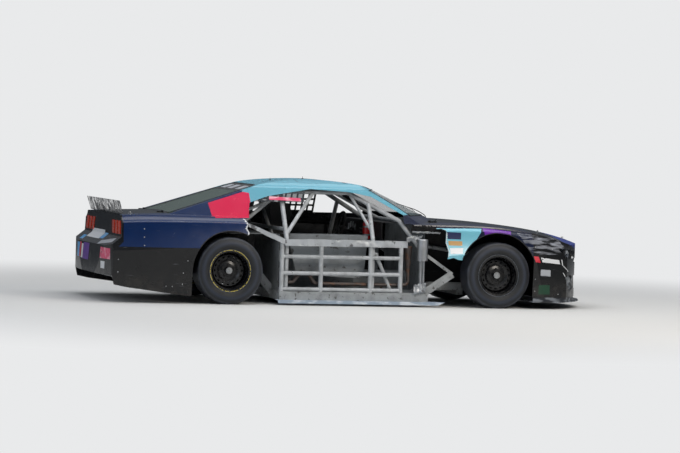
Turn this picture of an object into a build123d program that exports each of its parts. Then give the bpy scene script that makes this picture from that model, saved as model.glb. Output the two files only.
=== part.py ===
"""Stock car with its right door and skirt torn away, so that the welded tube frame shows.

Millimetres. +X is forward, +Y is the car's left, +Z is up. The origin is on the ground,
under the middle of the car. Every welded or bolted piece is a solid of its own.
"""

import os
from collections import namedtuple
from math import cos, radians, sin, sqrt, tan

from build123d import *

os.makedirs("parts", exist_ok=True)

# Overall sizes
wheelbase = 2743
front_overhang = 1090
rear_overhang = 1225
half_width = 975
skin = 5  # thickness of a body panel
lid_gap = 7  # gap round the hood and the deck lid

front_end = (wheelbase + front_overhang + rear_overhang) / 2
rear_end = -front_end
front_axle_x = front_end - front_overhang
rear_axle_x = rear_end + rear_overhang

# Wheels and tyres
tyre_radius = 328
tyre_width = 296
rim_radius = 208.5
rim_width = 262
rim_wall = 5
hub_recess = 96  # from the outer lip in to the wheel's centre disc
wheel_outer_y = 940
wheel_mid_y = wheel_outer_y - tyre_width / 2
kingpin_y = wheel_mid_y - 62
axle_z = tyre_radius

# Where the panels meet, along X
cowl_x = front_axle_x - 560
door_front_x = front_axle_x - 870
door_rear_x = rear_axle_x + 570
sail_x = rear_axle_x + 175
nose_seam_x = front_axle_x + 352
hood_front_x = front_axle_x + 958
deck_front_x = rear_axle_x - 600
deck_rear_x = rear_axle_x - 1065
torn_fender_x = front_axle_x - 552
torn_quarter_x = rear_axle_x + 162

# Heights
belt_z = 852
sill_z = 75
roof_z = 1230
arch_radius = 400
rear_arch_radius = 386
lid_half_width = 640

# Frame and cage
cage_tube = 22.2  # radius
bar_tube = 22.2
rail_width = 76
rail_height = 84
rail_z = 52
rail_y = 842


def save(piece, label):
    """Labels a finished piece and writes it as a file of its own."""
    piece.part.label = label
    export_step(piece.part, f"parts/{label}.step")


# The outer body. Each station is a cross-section, with heights and half widths.
Station = namedtuple("Station", "x low_w mid_w mid_z shoulder_w shoulder_z edge_w edge_z crown_z")
stations = [
    Station(rear_end - 40, 868, 902, 500, 862, 752, 800, 812, 838),
    Station(rear_axle_x - 560, 925, 965, 540, 915, 790, 830, 855, 884),
    Station(rear_axle_x, 935, 975, 560, 912, 790, 826, 848, 880),
    Station(rear_axle_x + 950, 925, 952, 480, 890, 760, 800, 828, 858),
    Station(front_axle_x - 830, 930, 955, 480, 900, 752, 835, 812, 866),
    Station(front_axle_x, 940, 975, 540, 936, 748, 872, 800, 832),
    Station(front_axle_x + 500, 935, 962, 430, 915, 655, 850, 724, 778),
    Station(front_end + 60, 900, 925, 330, 860, 452, 790, 512, 590),
]
tail_lean = 148  # how far the top of the tail sits ahead of its bumper
tail_bumper_z = 545
tail_shelf_z = 640
tail_low_z = 262
tail_sill_z = 176
nose_x = front_end - 62
nose_low_z = 118
nose_lip_z = 604


def body_shape(inset):
    """The closed body below the windows, drawn in by inset. Below, the inner one runs on out."""
    drop = 60 if inset else 0
    with BuildPart() as shape:
        for s in stations:
            with BuildSketch(Plane.YZ.offset(s.x)):
                with BuildLine():
                    low = (s.low_w - inset, sill_z - 30 - drop)
                    mid = (s.mid_w - inset, s.mid_z)
                    shoulder = (s.shoulder_w - inset, s.shoulder_z)
                    edge = (s.edge_w - inset, s.edge_z - inset)
                    crown = (0, s.crown_z - inset)
                    Line((-low[0], low[1]), low)
                    Line(low, mid)
                    SagittaArc(mid, shoulder, 9)
                    SagittaArc(shoulder, edge, 14)
                    ThreePointArc(edge, crown, (-edge[0], edge[1]))
                    SagittaArc((-edge[0], edge[1]), (-shoulder[0], shoulder[1]), 14)
                    SagittaArc((-shoulder[0], shoulder[1]), (-mid[0], mid[1]), 9)
                    Line((-mid[0], mid[1]), (-low[0], low[1]))
                make_face()
        loft()
        # Nose and tail as arcs in plan
        with BuildSketch(Plane.XY.offset(-100)):
            with BuildLine():
                nose_corner = (front_axle_x + 735 - inset, 862 - inset)
                nose_side = (front_axle_x + 290, half_width + 20)
                tail_side = (rear_end + 70, half_width + 20)
                tail_corner = (rear_end + 46 + inset, 868 - inset)
                FilletPolyline(
                    tail_corner, (tail_corner[0] + 18, 940 - inset), tail_side, radius=30
                )
                Line(tail_side, nose_side)
                Line(nose_side, nose_corner)
                ThreePointArc(nose_corner, (nose_x - inset, 0), (nose_corner[0], -nose_corner[1]))
                Line((nose_corner[0], -nose_corner[1]), (nose_side[0], -nose_side[1]))
                Line((nose_side[0], -nose_side[1]), (tail_side[0], -tail_side[1]))
                FilletPolyline(
                    (tail_side[0], -tail_side[1]),
                    (tail_corner[0] + 18, -940 + inset),
                    (tail_corner[0], -tail_corner[1]),
                    radius=30,
                )
                ThreePointArc(
                    (tail_corner[0], -tail_corner[1]), (rear_end - 6 + inset, 0), tail_corner
                )
            make_face()
        extrude(amount=roof_z, mode=Mode.INTERSECT)
        # The side view's tail, lip and lower edge
        with BuildSketch(Plane.XZ.offset(-1100)):
            with BuildLine():
                Polyline(
                    (rear_end + inset, tail_low_z - drop * 4),
                    (rear_end + 20 + inset, tail_bumper_z),
                    (rear_end + tail_lean - 8 + inset, tail_shelf_z),
                    (rear_end + tail_lean + inset, 838),
                    (rear_end + tail_lean + inset, roof_z),
                    (nose_x - 26 - inset, roof_z),
                    (nose_x - 26 - inset, nose_lip_z),
                    (nose_x - 10 - inset, nose_lip_z - 30),
                    (nose_x + 2, nose_lip_z - 190),
                    (nose_x + 2, nose_low_z - drop * 4),
                    (nose_seam_x, nose_low_z - drop * 4),
                    (nose_seam_x, sill_z - drop * 4),
                    (rear_axle_x - 420, sill_z - drop * 4),
                    (rear_end + 187, tail_sill_z - 23 - drop * 4),
                    (rear_end + 72, tail_sill_z - drop * 4),
                    (rear_end + 52, tail_low_z - drop * 4),
                    close=True,
                )
            make_face()
        extrude(amount=2200, mode=Mode.INTERSECT)
    return shape.part


# The cabin above the belt
Frame = namedtuple("Frame", "x base_w rail_w roof_w")
cabin_frames = [Frame(rear_axle_x - 660, 742, 552, 470), Frame(cowl_x, 812, 596, 512)]
cabin_base_z = 780
rail_line_z = 1140
roof_edge_z = 1188
glass_rake = 24.6  # degrees, from level
screen_base_x = front_axle_x - 545  # where the screen's middle meets the cowl
screen_radius = 1010
screen_base_z = 876
back_glass_top = (rear_axle_x + 372, 1172)
back_glass_base = (rear_axle_x - 530, 880)


def cabin_shape(inset):
    """The closed cabin from below the belt to the roof, drawn in by inset."""
    with BuildPart() as shape:
        for f in cabin_frames:
            with BuildSketch(Plane.YZ.offset(f.x)):
                with BuildLine():
                    base = (f.base_w - inset, cabin_base_z)
                    rail = (f.rail_w - inset, rail_line_z)
                    roof = (f.roof_w - inset, roof_edge_z)
                    Line((-base[0], base[1]), base)
                    Line(base, rail)
                    SagittaArc(rail, roof, 9)
                    ThreePointArc(roof, (0, roof_z - inset + 6), (-roof[0], roof[1]))
                    SagittaArc((-roof[0], roof[1]), (-rail[0], rail[1]), 9)
                    Line((-rail[0], rail[1]), (-base[0], base[1]))
                make_face()
        loft(ruled=True)
        # Roof arch and back glass, seen from the side
        with BuildSketch(Plane.XZ.offset(-900)):
            with BuildLine():
                top = (back_glass_top[0], back_glass_top[1] - inset)
                base = (back_glass_base[0], back_glass_base[1] - inset)
                slope = (top[1] - base[1]) / (top[0] - base[0])
                low = (base[0] - (base[1] - cabin_base_z) / slope, cabin_base_z)
                fore = (front_axle_x - 1180, 1153 - inset)
                Line(low, top)
                ThreePointArc(top, (front_axle_x - 1830, roof_z - 4 - inset), fore)
                Polyline(fore, (screen_base_x + 400, 800), (screen_base_x + 400, cabin_base_z), low)
            make_face()
        extrude(amount=1800, mode=Mode.INTERSECT)
        # Windscreen, an arc in plan swept back up its rake
        lift = roof_z + 60 - screen_base_z
        back = lift / tan(radians(glass_rake))
        start_z = cabin_base_z - 20
        start_x = screen_base_x + (screen_base_z - start_z) / tan(radians(glass_rake))
        edge_drop = screen_radius - sqrt(screen_radius**2 - 860**2)
        setback = inset / sin(radians(glass_rake))
        with BuildSketch(Plane.XY.offset(start_z)):
            with BuildLine():
                ThreePointArc(
                    (start_x - setback - edge_drop, 860),
                    (start_x - setback, 0),
                    (start_x - setback - edge_drop, -860),
                )
                Polyline(
                    (start_x - setback - edge_drop, -860),
                    (rear_end, -860),
                    (rear_end, 860),
                    (start_x - setback - edge_drop, 860),
                )
            make_face()
        travel = sqrt(back**2 + lift**2) + 300
        extrude(
            amount=travel,
            dir=(-cos(radians(glass_rake)), 0, sin(radians(glass_rake))),
            mode=Mode.INTERSECT,
        )
    return shape.part


def side_prism(points, y_from, y_to):
    """A side-view outline, run across the car from y_from to y_to."""
    with BuildPart() as prism:
        with BuildSketch(Plane.XZ.offset(-y_to)):
            with BuildLine():
                Polyline(*points, close=True)
            make_face()
        extrude(amount=y_to - y_from)
    return prism.part


def plan_prism(points, z_from, z_to):
    """An outline seen from above, run up from z_from to z_to."""
    with BuildPart() as prism:
        with BuildSketch(Plane.XY.offset(z_from)):
            with BuildLine():
                Polyline(*points, close=True)
            make_face()
        extrude(amount=z_to - z_from)
    return prism.part


def front_prism(points, x_from, x_to):
    """An outline seen from the front, run forward from x_from to x_to."""
    with BuildPart() as prism:
        with BuildSketch(Plane.YZ.offset(x_from)):
            with BuildLine():
                Polyline(*points, close=True)
            make_face()
        extrude(amount=x_to - x_from)
    return prism.part


def block(x_from, x_to, y_from, y_to, z_from, z_to):
    """A plain box between its faces."""
    return plan_prism([(x_from, y_from), (x_to, y_from), (x_to, y_to), (x_from, y_to)], z_from, z_to)


def tube(points, radius, bend=0):
    """A round bar through the points, bent to one radius where it turns."""
    with BuildPart() as run:
        with BuildLine() as path:
            if len(points) > 2:
                FilletPolyline(*points, radius=bend)
            else:
                Line(*points)
        with BuildSketch(Plane(origin=path.line @ 0, z_dir=path.line % 0)):
            Circle(radius)
        sweep()
    return run.part


def lying_disc(x, z, y_from, y_to, radius):
    """A round plate or bar across the car, from y_from to y_to."""
    with BuildPart() as disc:
        with BuildSketch(Plane.XZ.offset(-y_to)):
            with Locations((x, z)):
                Circle(radius)
        extrude(amount=y_to - y_from)
    return disc.part


def skin_z(shape, x, y):
    """Height of a closed shape's top surface above one point of the ground."""
    return max(p.Z for p, _ in shape.find_intersection_points(Axis((x, y, 0), (0, 0, 1))))


gap = 0.3  # running clearance where moving faces meet
upright = (Align.CENTER, Align.CENTER, Align.MIN)  # a cylinder that stands on its place

# Skin
body_outer = body_shape(0)
body_inner = body_shape(skin)
cabin_outer = cabin_shape(0)
cabin_inner = cabin_shape(skin)
dam_core = body_shape(skin + 8)
with BuildPart() as body_shell:
    add(body_outer)
    add(body_inner, mode=Mode.SUBTRACT)
    add(cabin_inner, mode=Mode.SUBTRACT)
with BuildPart() as cabin_shell:
    add(cabin_outer)
    add(cabin_inner, mode=Mode.SUBTRACT)
    add(body_outer, mode=Mode.SUBTRACT)

# Hood and deck lid, seen from above
screen_centre_x = screen_base_x - screen_radius
hood_rear_gap = 110  # from the screen's foot to the hood's rear edge
hood_rear_half = 640
hood_front_half = 540
hood_corner_x = hood_front_x - 150


def hood_region(grow):
    """The hood's outline from above, grown all round, as a tall prism."""
    with BuildPart() as region:
        with BuildSketch(Plane.XY.offset(300)):
            with BuildLine():
                radius = screen_radius + hood_rear_gap - grow
                half = hood_rear_half + grow
                back = screen_centre_x + sqrt(radius**2 - half**2)
                fore = hood_front_half + grow
                Line((back, half), (hood_corner_x + grow, fore))
                ThreePointArc(
                    (hood_corner_x + grow, fore),
                    (hood_front_x - 30 + grow, 0),
                    (hood_corner_x + grow, -fore),
                )
                Line((hood_corner_x + grow, -fore), (back, -half))
                ThreePointArc((back, -half), (screen_centre_x + radius, 0), (back, half))
            make_face()
        extrude(amount=700)
    return region.part


def lid_region(grow):
    """The deck lid's outline from above, grown all round, as a tall prism."""
    half = lid_half_width - 20 + grow
    return block(deck_rear_x - grow, deck_front_x + grow, -half, half, 600, 1100)


hood_hole = hood_region(lid_gap / 2)
lid_hole = lid_region(lid_gap / 2)

# Wheel arches and side windows, seen from the side
with BuildPart() as front_arch:
    with BuildSketch(Plane.XZ.offset(-1100)):
        with Locations((front_axle_x - 15, axle_z + 20)):
            Circle(arch_radius)
        with Locations((front_axle_x - 15, 0)):
            Rectangle(2 * arch_radius, 2 * axle_z + 40)
    extrude(amount=2200)
    add(block(nose_seam_x, front_end, -1100, 1100, -200, 1200), mode=Mode.SUBTRACT)
with BuildPart() as rear_arch:
    with BuildSketch(Plane.XZ.offset(-1100)):
        with Locations((rear_axle_x, axle_z)):
            Circle(rear_arch_radius)
        with Locations((rear_axle_x, 0)):
            Rectangle(2 * rear_arch_radius, 2 * axle_z)
    extrude(amount=2200)

window_fore = (cowl_x - 391, 904)
window_top = [(cowl_x - 699, 1076), (cowl_x - 913, 1116), (cowl_x - 1310, 1136)]
window_tail = [(sail_x + 252, 1058), (sail_x + 64, 991), (sail_x + 44, 872)]
post_front_x = door_rear_x + 60
right_window = [window_fore, *window_top, *window_tail, (sail_x + 44, 700), (window_fore[0], 700)]
left_window = [window_fore, *window_top, *window_tail, (window_fore[0] - 20, 872)]
screen_window = [(-700, 896), (700, 896), (508, 1136), (-508, 1136)]
back_window = [
    (back_glass_base[0] - 200, -590),
    (back_glass_top[0] - 28, -468),
    (back_glass_top[0] - 28, 468),
    (back_glass_base[0] - 200, 590),
]
glass_gap = 0.5


def shrunk(points, by):
    """The same outline, drawn in all round for a pane that fits its opening."""
    with BuildSketch() as face:
        with BuildLine():
            Polyline(*points, close=True)
        make_face()
        offset(amount=-by, kind=Kind.INTERSECTION, mode=Mode.REPLACE)
    ordered = face.sketch.faces()[0].outer_wire().order_edges()
    return [(edge.position_at(0).X, edge.position_at(0).Y) for edge in ordered]


# Hinges stand just above the skin, on lugs with a pin
barrel_radius = 6
pin_radius = 3
hinge_rise = 9
strap_half = 15
strap_thickness = 4
hood_hinge_y = 600
lid_hinge_y = 420
hood_back_radius = screen_radius + hood_rear_gap
hood_hinge_x = screen_centre_x + sqrt(hood_back_radius**2 - hood_rear_half**2) - lid_gap / 2
hood_hinge_z = skin_z(body_outer, hood_hinge_x, hood_hinge_y) + hinge_rise
lid_hinge_x = deck_front_x + 14
lid_hinge_z = skin_z(body_outer, lid_hinge_x, lid_hinge_y) + hinge_rise


def hinge_strap(x, z, y, foot_x, foot_z):
    """The leaf on the lid: a barrel, a strap over the seam and a foot on the panel."""
    way = 1 if foot_x > x else -1
    with BuildPart() as strap:
        for side in (-1, 1):
            middle = side * y
            near, far = middle - strap_half, middle + strap_half
            add(lying_disc(x, z, near, far, barrel_radius))
            low = z - barrel_radius
            add(side_prism(
                [
                    (x, low),
                    (x, low + strap_thickness),
                    (foot_x, low + strap_thickness),
                    (foot_x, foot_z - 3),
                    (foot_x - way * 22, foot_z - 3),
                    (foot_x - way * 22, low),
                ],
                near,
                far,
            ))
            add(lying_disc(x, z, near - 1, far + 1, pin_radius + gap), mode=Mode.SUBTRACT)
    return strap.part


def hinge_lugs(x, z, y):
    """Two lugs and the pin between them, for each side of the car."""
    with BuildPart() as lugs:
        for side in (-1, 1):
            middle = side * y
            reach = strap_half + gap
            for end in (-1, 1):
                near, far = sorted((middle + end * reach, middle + end * (reach + 8)))
                add(lying_disc(x, z, near, far, barrel_radius + 1))
                add(block(x - 7, x + 7, near, far, z - hinge_rise - 3, z))
            add(lying_disc(x, z, middle - reach - 4, middle + reach + 4, pin_radius))
    return lugs.part


# Roof with its pillars, and the sails that the quarter panels run up into
with BuildPart() as roof:
    add(cabin_shell.part)
    add(block(sail_x, front_end, -900, 900, 700, 1300), mode=Mode.INTERSECT)
    add(front_prism(screen_window, -150, front_end), mode=Mode.SUBTRACT)
    add(plan_prism(back_window, 700, 1300), mode=Mode.SUBTRACT)
    add(side_prism(left_window, 0, 1000), mode=Mode.SUBTRACT)
    add(side_prism(right_window, -1000, 0), mode=Mode.SUBTRACT)
save(roof, "roof")
# Quarter panels, torn off at the front on the right
lid_side = lid_half_width - 20 + lid_gap / 2
torn_quarter = [
    (sail_x - 15, 1140),
    (sail_x + 46, 1010),
    (sail_x + 46, 850),
    (torn_quarter_x - 12, 835),
    (torn_quarter_x + 14, 800),
    (torn_quarter_x - 4, 742),
    (torn_quarter_x + 22, 700),
    (torn_quarter_x + 2, 661),
    (torn_quarter_x - 90, 560),
    (rear_axle_x, 400),
    (rear_axle_x, -20),
    (rear_end - 20, -20),
    (rear_end - 20, 1140),
]
whole_quarter = [
    (sail_x, 1240),
    (sail_x, 852),
    (door_rear_x, 852),
    (door_rear_x, -20),
    (rear_end - 20, -20),
    (rear_end - 20, 1240),
]
bumper_hip_z = 520
lid_back_x = deck_rear_x - lid_gap / 2


def bumper_region():
    """What belongs to the rear bumper: the tail face and its corners."""
    return side_prism(
        [
            (rear_end - 20, 60),
            (rear_end + 80, 60),
            (rear_end + 80, bumper_hip_z),
            (lid_back_x, bumper_hip_z + 70),
            (lid_back_x, 900),
            (rear_end - 20, 900),
        ],
        -1000,
        1000,
    )


def quarter(outline, side):
    """One quarter panel with its sail, cut to its side-view outline."""
    near, far = sorted((side * 2, side * 1000))
    with BuildPart() as panel:
        add(body_shell.part)
        add(cabin_shell.part)
        add(side_prism(outline, near, far), mode=Mode.INTERSECT)
        deck_opening = block(rear_end, sail_x + 300, -lid_side, lid_side, 600, back_glass_base[1] + 8)
        add(deck_opening, mode=Mode.SUBTRACT)
        add(plan_prism(back_window, 700, 1300), mode=Mode.SUBTRACT)
        add(bumper_region(), mode=Mode.SUBTRACT)
        add(rear_arch.part, mode=Mode.SUBTRACT)
        add(roof.part, mode=Mode.SUBTRACT)
    return panel


quarter_left = quarter(whole_quarter, 1)
quarter_right = quarter(torn_quarter, -1)
save(quarter_left, "quarter_left")
save(quarter_right, "quarter_right")

with BuildPart() as rear_bumper:
    add(body_shell.part)
    add(bumper_region(), mode=Mode.INTERSECT)
save(rear_bumper, "rear_bumper")

with BuildPart() as filler_panel:
    add(body_shell.part)
    deck_strip = block(lid_back_x, back_glass_base[0] + 150, -lid_side, lid_side, 700, 1000)
    add(deck_strip, mode=Mode.INTERSECT)
    add(lid_hole, mode=Mode.SUBTRACT)
    add(hinge_lugs(lid_hinge_x, lid_hinge_z, lid_hinge_y))
save(filler_panel, "filler_panel")

with BuildPart() as deck_lid:
    add(body_shell.part)
    add(lid_region(-lid_gap / 2), mode=Mode.INTERSECT)
    foot_z = skin_z(body_outer, lid_hinge_x - 41, lid_hinge_y)
    add(hinge_strap(lid_hinge_x, lid_hinge_z, lid_hinge_y, lid_hinge_x - 52, foot_z))
save(deck_lid, "deck_lid")

with BuildPart() as hood:
    add(body_shell.part)
    add(hood_region(-lid_gap / 2), mode=Mode.INTERSECT)
    foot_z = skin_z(body_outer, hood_hinge_x + 63, hood_hinge_y)
    add(hinge_strap(hood_hinge_x, hood_hinge_z, hood_hinge_y, hood_hinge_x + 74, foot_z))
save(hood, "hood")

# Cowl: the strip from the doors to the hood, under the screen
cowl_half = 705
fender_back_z = 775
with BuildPart() as cowl:
    add(body_shell.part)
    cowl_strip = block(door_front_x, cowl_x + 200, -cowl_half, cowl_half, fender_back_z, 1000)
    add(cowl_strip, mode=Mode.INTERSECT)
    add(hood_hole, mode=Mode.SUBTRACT)
    for side in (-1, 1):
        near, far = sorted((side * (hood_rear_half - 30), side * 800))
        add(block(cowl_x - 20, cowl_x + 300, near, far, 700, 1000), mode=Mode.SUBTRACT)
    add(hinge_lugs(hood_hinge_x, hood_hinge_z, hood_hinge_y))
save(cowl, "cowl")

whole_fender = [(door_front_x, 900), (door_front_x, 0), (nose_seam_x, 0), (nose_seam_x, 900)]
torn_fender = [
    (door_front_x, 900),
    (door_front_x, 806),
    (door_front_x + 60, 786),
    (door_front_x + 128, 803),
    (door_front_x + 200, 772),
    (torn_fender_x - 40, 781),
    (torn_fender_x, 765),
    (torn_fender_x - 8, 640),
    (torn_fender_x + 18, 560),
    (torn_fender_x + 6, 483),
    (torn_fender_x + 70, 497),
    (torn_fender_x + 120, 478),
    (front_axle_x, 440),
    (nose_seam_x, 440),
    (nose_seam_x, 900),
]


def fender(outline, side):
    """One front fender: its side and the strip of its top beside the hood."""
    near, far = sorted((side * 400, side * 1000))
    with BuildPart() as panel:
        add(body_shell.part)
        add(side_prism(outline, near, far), mode=Mode.INTERSECT)
        add(hood_hole, mode=Mode.SUBTRACT)
        add(front_arch.part, mode=Mode.SUBTRACT)
        add(cowl.part, mode=Mode.SUBTRACT)
    return panel


fender_left = fender(whole_fender, 1)
fender_right = fender(torn_fender, -1)
save(fender_left, "fender_left")
save(fender_right, "fender_right")

with BuildPart() as door_left:
    add(body_shell.part)
    add(block(door_rear_x, door_front_x, 500, 1000, -20, 900), mode=Mode.INTERSECT)
save(door_left, "door_left")

# Nose with its lamps' recesses and its grille openings
headlight = [
    (front_axle_x + 632, 592),
    (front_axle_x + 700, 612),
    (front_axle_x + 896, 572),
    (front_axle_x + 890, 505),
    (front_axle_x + 760, 503),
]
upper_grille = [(-560, 505), (560, 505), (640, 455), (-640, 455)]
lower_grille = [(-620, 330), (620, 330), (560, 190), (-560, 190)]
torn_corner = [
    (front_axle_x + 724, 318),
    (front_axle_x + 800, 345),
    (front_axle_x + 862, 300),
    (front_axle_x + 872, 212),
    (front_axle_x + 790, 176),
    (front_axle_x + 742, 236),
]
with BuildPart() as nose:
    add(body_shell.part)
    add(block(nose_seam_x, front_end, -1000, 1000, 0, 900), mode=Mode.INTERSECT)
    add(hood_hole, mode=Mode.SUBTRACT)
    add(front_prism(upper_grille, front_axle_x + 700, front_end), mode=Mode.SUBTRACT)
    add(front_prism(lower_grille, front_axle_x + 700, front_end), mode=Mode.SUBTRACT)
    for side in (-1, 1):
        near, far = sorted((side * 600, side * 1000))
        add(side_prism(headlight, near, far), mode=Mode.SUBTRACT)
    add(side_prism(torn_corner, -1000, -600), mode=Mode.SUBTRACT)
save(nose, "nose")

with BuildPart() as headlights:
    for side in (-1, 1):
        near, far = sorted((side * 600, side * 1000))
        add(side_prism(shrunk(headlight, glass_gap), near, far))
    add(body_shell.part, mode=Mode.INTERSECT)
save(headlights, "headlights")

# Glass
with BuildPart() as windshield:
    add(cabin_shell.part)
    add(front_prism(shrunk(screen_window, glass_gap), -150, front_end), mode=Mode.INTERSECT)
save(windshield, "windshield")
with BuildPart() as rear_window:
    add(cabin_shell.part)
    add(plan_prism(shrunk(back_window, glass_gap), 700, 1300), mode=Mode.INTERSECT)
save(rear_window, "rear_window")

broken_edge = [
    (sail_x + 500, 1300),
    (sail_x + 640, 1100),
    (sail_x + 618, 1062),
    (sail_x + 626, 1004),
    (sail_x + 60, 1004),
    (sail_x - 60, 1004),
    (sail_x - 60, 1300),
]
with BuildPart() as right_pane:
    add(cabin_shell.part)
    add(side_prism(shrunk(right_window, glass_gap), -1000, 0), mode=Mode.INTERSECT)
    add(side_prism(broken_edge, -1000, 0), mode=Mode.INTERSECT)
with BuildPart() as left_pane:
    add(cabin_shell.part)
    add(side_prism(shrunk(left_window, glass_gap), 0, 1000), mode=Mode.INTERSECT)
    add(block(sail_x, post_front_x - 30, 0, 1000, 700, 1300), mode=Mode.INTERSECT)
with BuildPart() as quarter_windows:
    add(right_pane.part)
    add(left_pane.part)
save(quarter_windows, "quarter_windows")

# Frame
rail_top = rail_z + rail_height
rail_back_x = door_rear_x - 60
rail_front_x = cowl_x - 154
front_rail_y = 380
rear_rail_y = 480
clip_width = 60
clip_depth = 80
front_rail_z = 190
rear_kick_z = 445
rear_rail_z = 270
front_rail_end = front_axle_x + 640
tower_half = 95
cross_bar_xs = [rear_axle_x - 500, rear_axle_x - 940]
bumper_bar_x = rear_end + 180
brace_y = rail_y - 22


def rail_run(points, y, depth):
    """A box rail along a side-view line, centred at y."""
    with BuildPart() as run:
        with BuildSketch(Plane.XZ.offset(-(y + clip_width / 2))):
            with BuildLine():
                Polyline(*points)
            trace(line_width=depth)
        extrude(amount=clip_width)
    return run.part


with BuildPart() as frame:
    for side in (-1, 1):
        near, far = sorted((side * (rail_y - rail_width / 2), side * (rail_y + rail_width / 2)))
        add(block(rail_back_x, rail_front_x, near, far, rail_z, rail_top))
        add(rail_run(
            [
                (rail_front_x - 40, rail_z + rail_height / 2),
                (rail_front_x + 150, front_rail_z),
                (front_rail_end, front_rail_z),
            ],
            side * front_rail_y,
            clip_depth,
        ))
        add(rail_run(
            [
                (rail_back_x + 40, rail_z + rail_height / 2),
                (rail_back_x - 110, rear_rail_z),
                (rear_axle_x + 200, rear_kick_z),
                (rear_axle_x - 170, rear_kick_z),
                (rear_axle_x - 370, rear_rail_z),
                (bumper_bar_x + 10, rear_rail_z),
            ],
            side * rear_rail_y,
            clip_depth,
        ))
        # Tower that carries the upper arm
        near, far = sorted((side * (front_rail_y + 15), side * (front_rail_y + 50)))
        add(side_prism(
            [
                (front_axle_x - tower_half - 50, front_rail_z + 30),
                (front_axle_x + tower_half, front_rail_z + 30),
                (front_axle_x + tower_half, 480),
                (front_axle_x - tower_half, 480),
            ],
            near,
            far,
        ))
        # Upper bar of the front clip, from the firewall to the radiator
        add(tube(
            [
                (rail_front_x + 24, side * (front_rail_y + 30), front_rail_z - 60),
                (rail_front_x + 24, side * (front_rail_y + 30), 600),
                (front_axle_x, side * (front_rail_y + 30), 500),
                (front_rail_end - 60, side * (front_rail_y + 10), 450),
                (front_rail_end - 30, side * front_rail_y, front_rail_z),
            ],
            20,
            bend=70,
        ))
        # Flat brace ahead of the door, from the rail out and back up to the leg
        brace_end = (front_axle_x - 450, 330)
        for foot, width in (((rail_front_x - 14, rail_top + 8), 74), ((rail_front_x - 40, 534), 30)):
            with BuildSketch(Plane.XZ.offset(-side * brace_y - 3)):
                with BuildLine():
                    Line(foot, brace_end)
                trace(line_width=width)
            extrude(amount=6)
    full = rail_y - rail_width / 2
    add(block(rail_front_x - 76, rail_front_x, -full, full, rail_z, rail_top))
    add(block(rail_front_x - 76, rail_front_x, -130, 130, rail_z + 48, rail_top), mode=Mode.SUBTRACT)
    add(block(rail_back_x, rail_back_x + 76, -full, full, rail_z, rail_top))
    add(block(-60, 16, -full, full, rail_z, rail_top))
    add(block(front_rail_end - 60, front_rail_end, -front_rail_y, front_rail_y, 160, 220))
    add(block(front_axle_x - 260, front_axle_x - 200, -front_rail_y, front_rail_y, 105, 155))
    for x in cross_bar_xs:
        add(block(x - 30, x + 30, -rear_rail_y, rear_rail_y, rear_rail_z - 40, rear_rail_z + 20))
    add(block(bumper_bar_x - 40, bumper_bar_x + 10, -640, 640, rear_rail_z - 40, rear_rail_z + 40))
    kick_bar = (rear_kick_z - 30, rear_kick_z + 30)
    add(block(rear_axle_x + 150, rear_axle_x + 210, -rear_rail_y, rear_rail_y, *kick_bar))
save(frame, "frame")

# Cage
hoop_x = door_rear_x + 13
hoop_foot_y = rail_y - 14
hoop_top_y = 528
halo_y = 500
halo_z = 1106
halo_front_x = front_axle_x - 1462
brace_tube = 19
pillar_foot = (front_axle_x - 969, 700, 836)
leg_x = front_axle_x - 1280
knee_z = 640

with BuildPart() as main_hoop:
    add(tube(
        [
            (hoop_x, hoop_foot_y, rail_top),
            (hoop_x, hoop_foot_y, knee_z),
            (hoop_x, hoop_top_y, halo_z),
            (hoop_x, -hoop_top_y, halo_z),
            (hoop_x, -hoop_foot_y, knee_z),
            (hoop_x, -hoop_foot_y, rail_top),
        ],
        cage_tube,
        bend=80,
    ))
    # Shoulder bar and diagonal behind the seats
    add(tube([(hoop_x, -hoop_foot_y + 60, 740), (hoop_x, hoop_foot_y - 60, 740)], brace_tube))
    add(tube([(hoop_x, -hoop_foot_y + 2, 300), (hoop_x, hoop_top_y - 60, halo_z - 6)], brace_tube))
    for side in (-1, 1):
        # Stays down to the rear rails, one over the axle and one behind it
        add(tube(
            [
                (hoop_x, side * (hoop_top_y - 34), halo_z - 4),
                (rear_axle_x - 150, side * rear_rail_y, rear_kick_z + 30),
            ],
            brace_tube,
        ))
        add(tube(
            [
                (hoop_x - 120, side * (hoop_top_y - 36), halo_z - 104),
                (rear_axle_x - 420, side * (rear_rail_y + 30), 640),
                (rear_axle_x - 700, side * rear_rail_y, rear_rail_z + 30),
            ],
            brace_tube - 2,
            bend=100,
        ))
    add(frame.part, mode=Mode.SUBTRACT)
save(main_hoop, "main_hoop")

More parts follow.
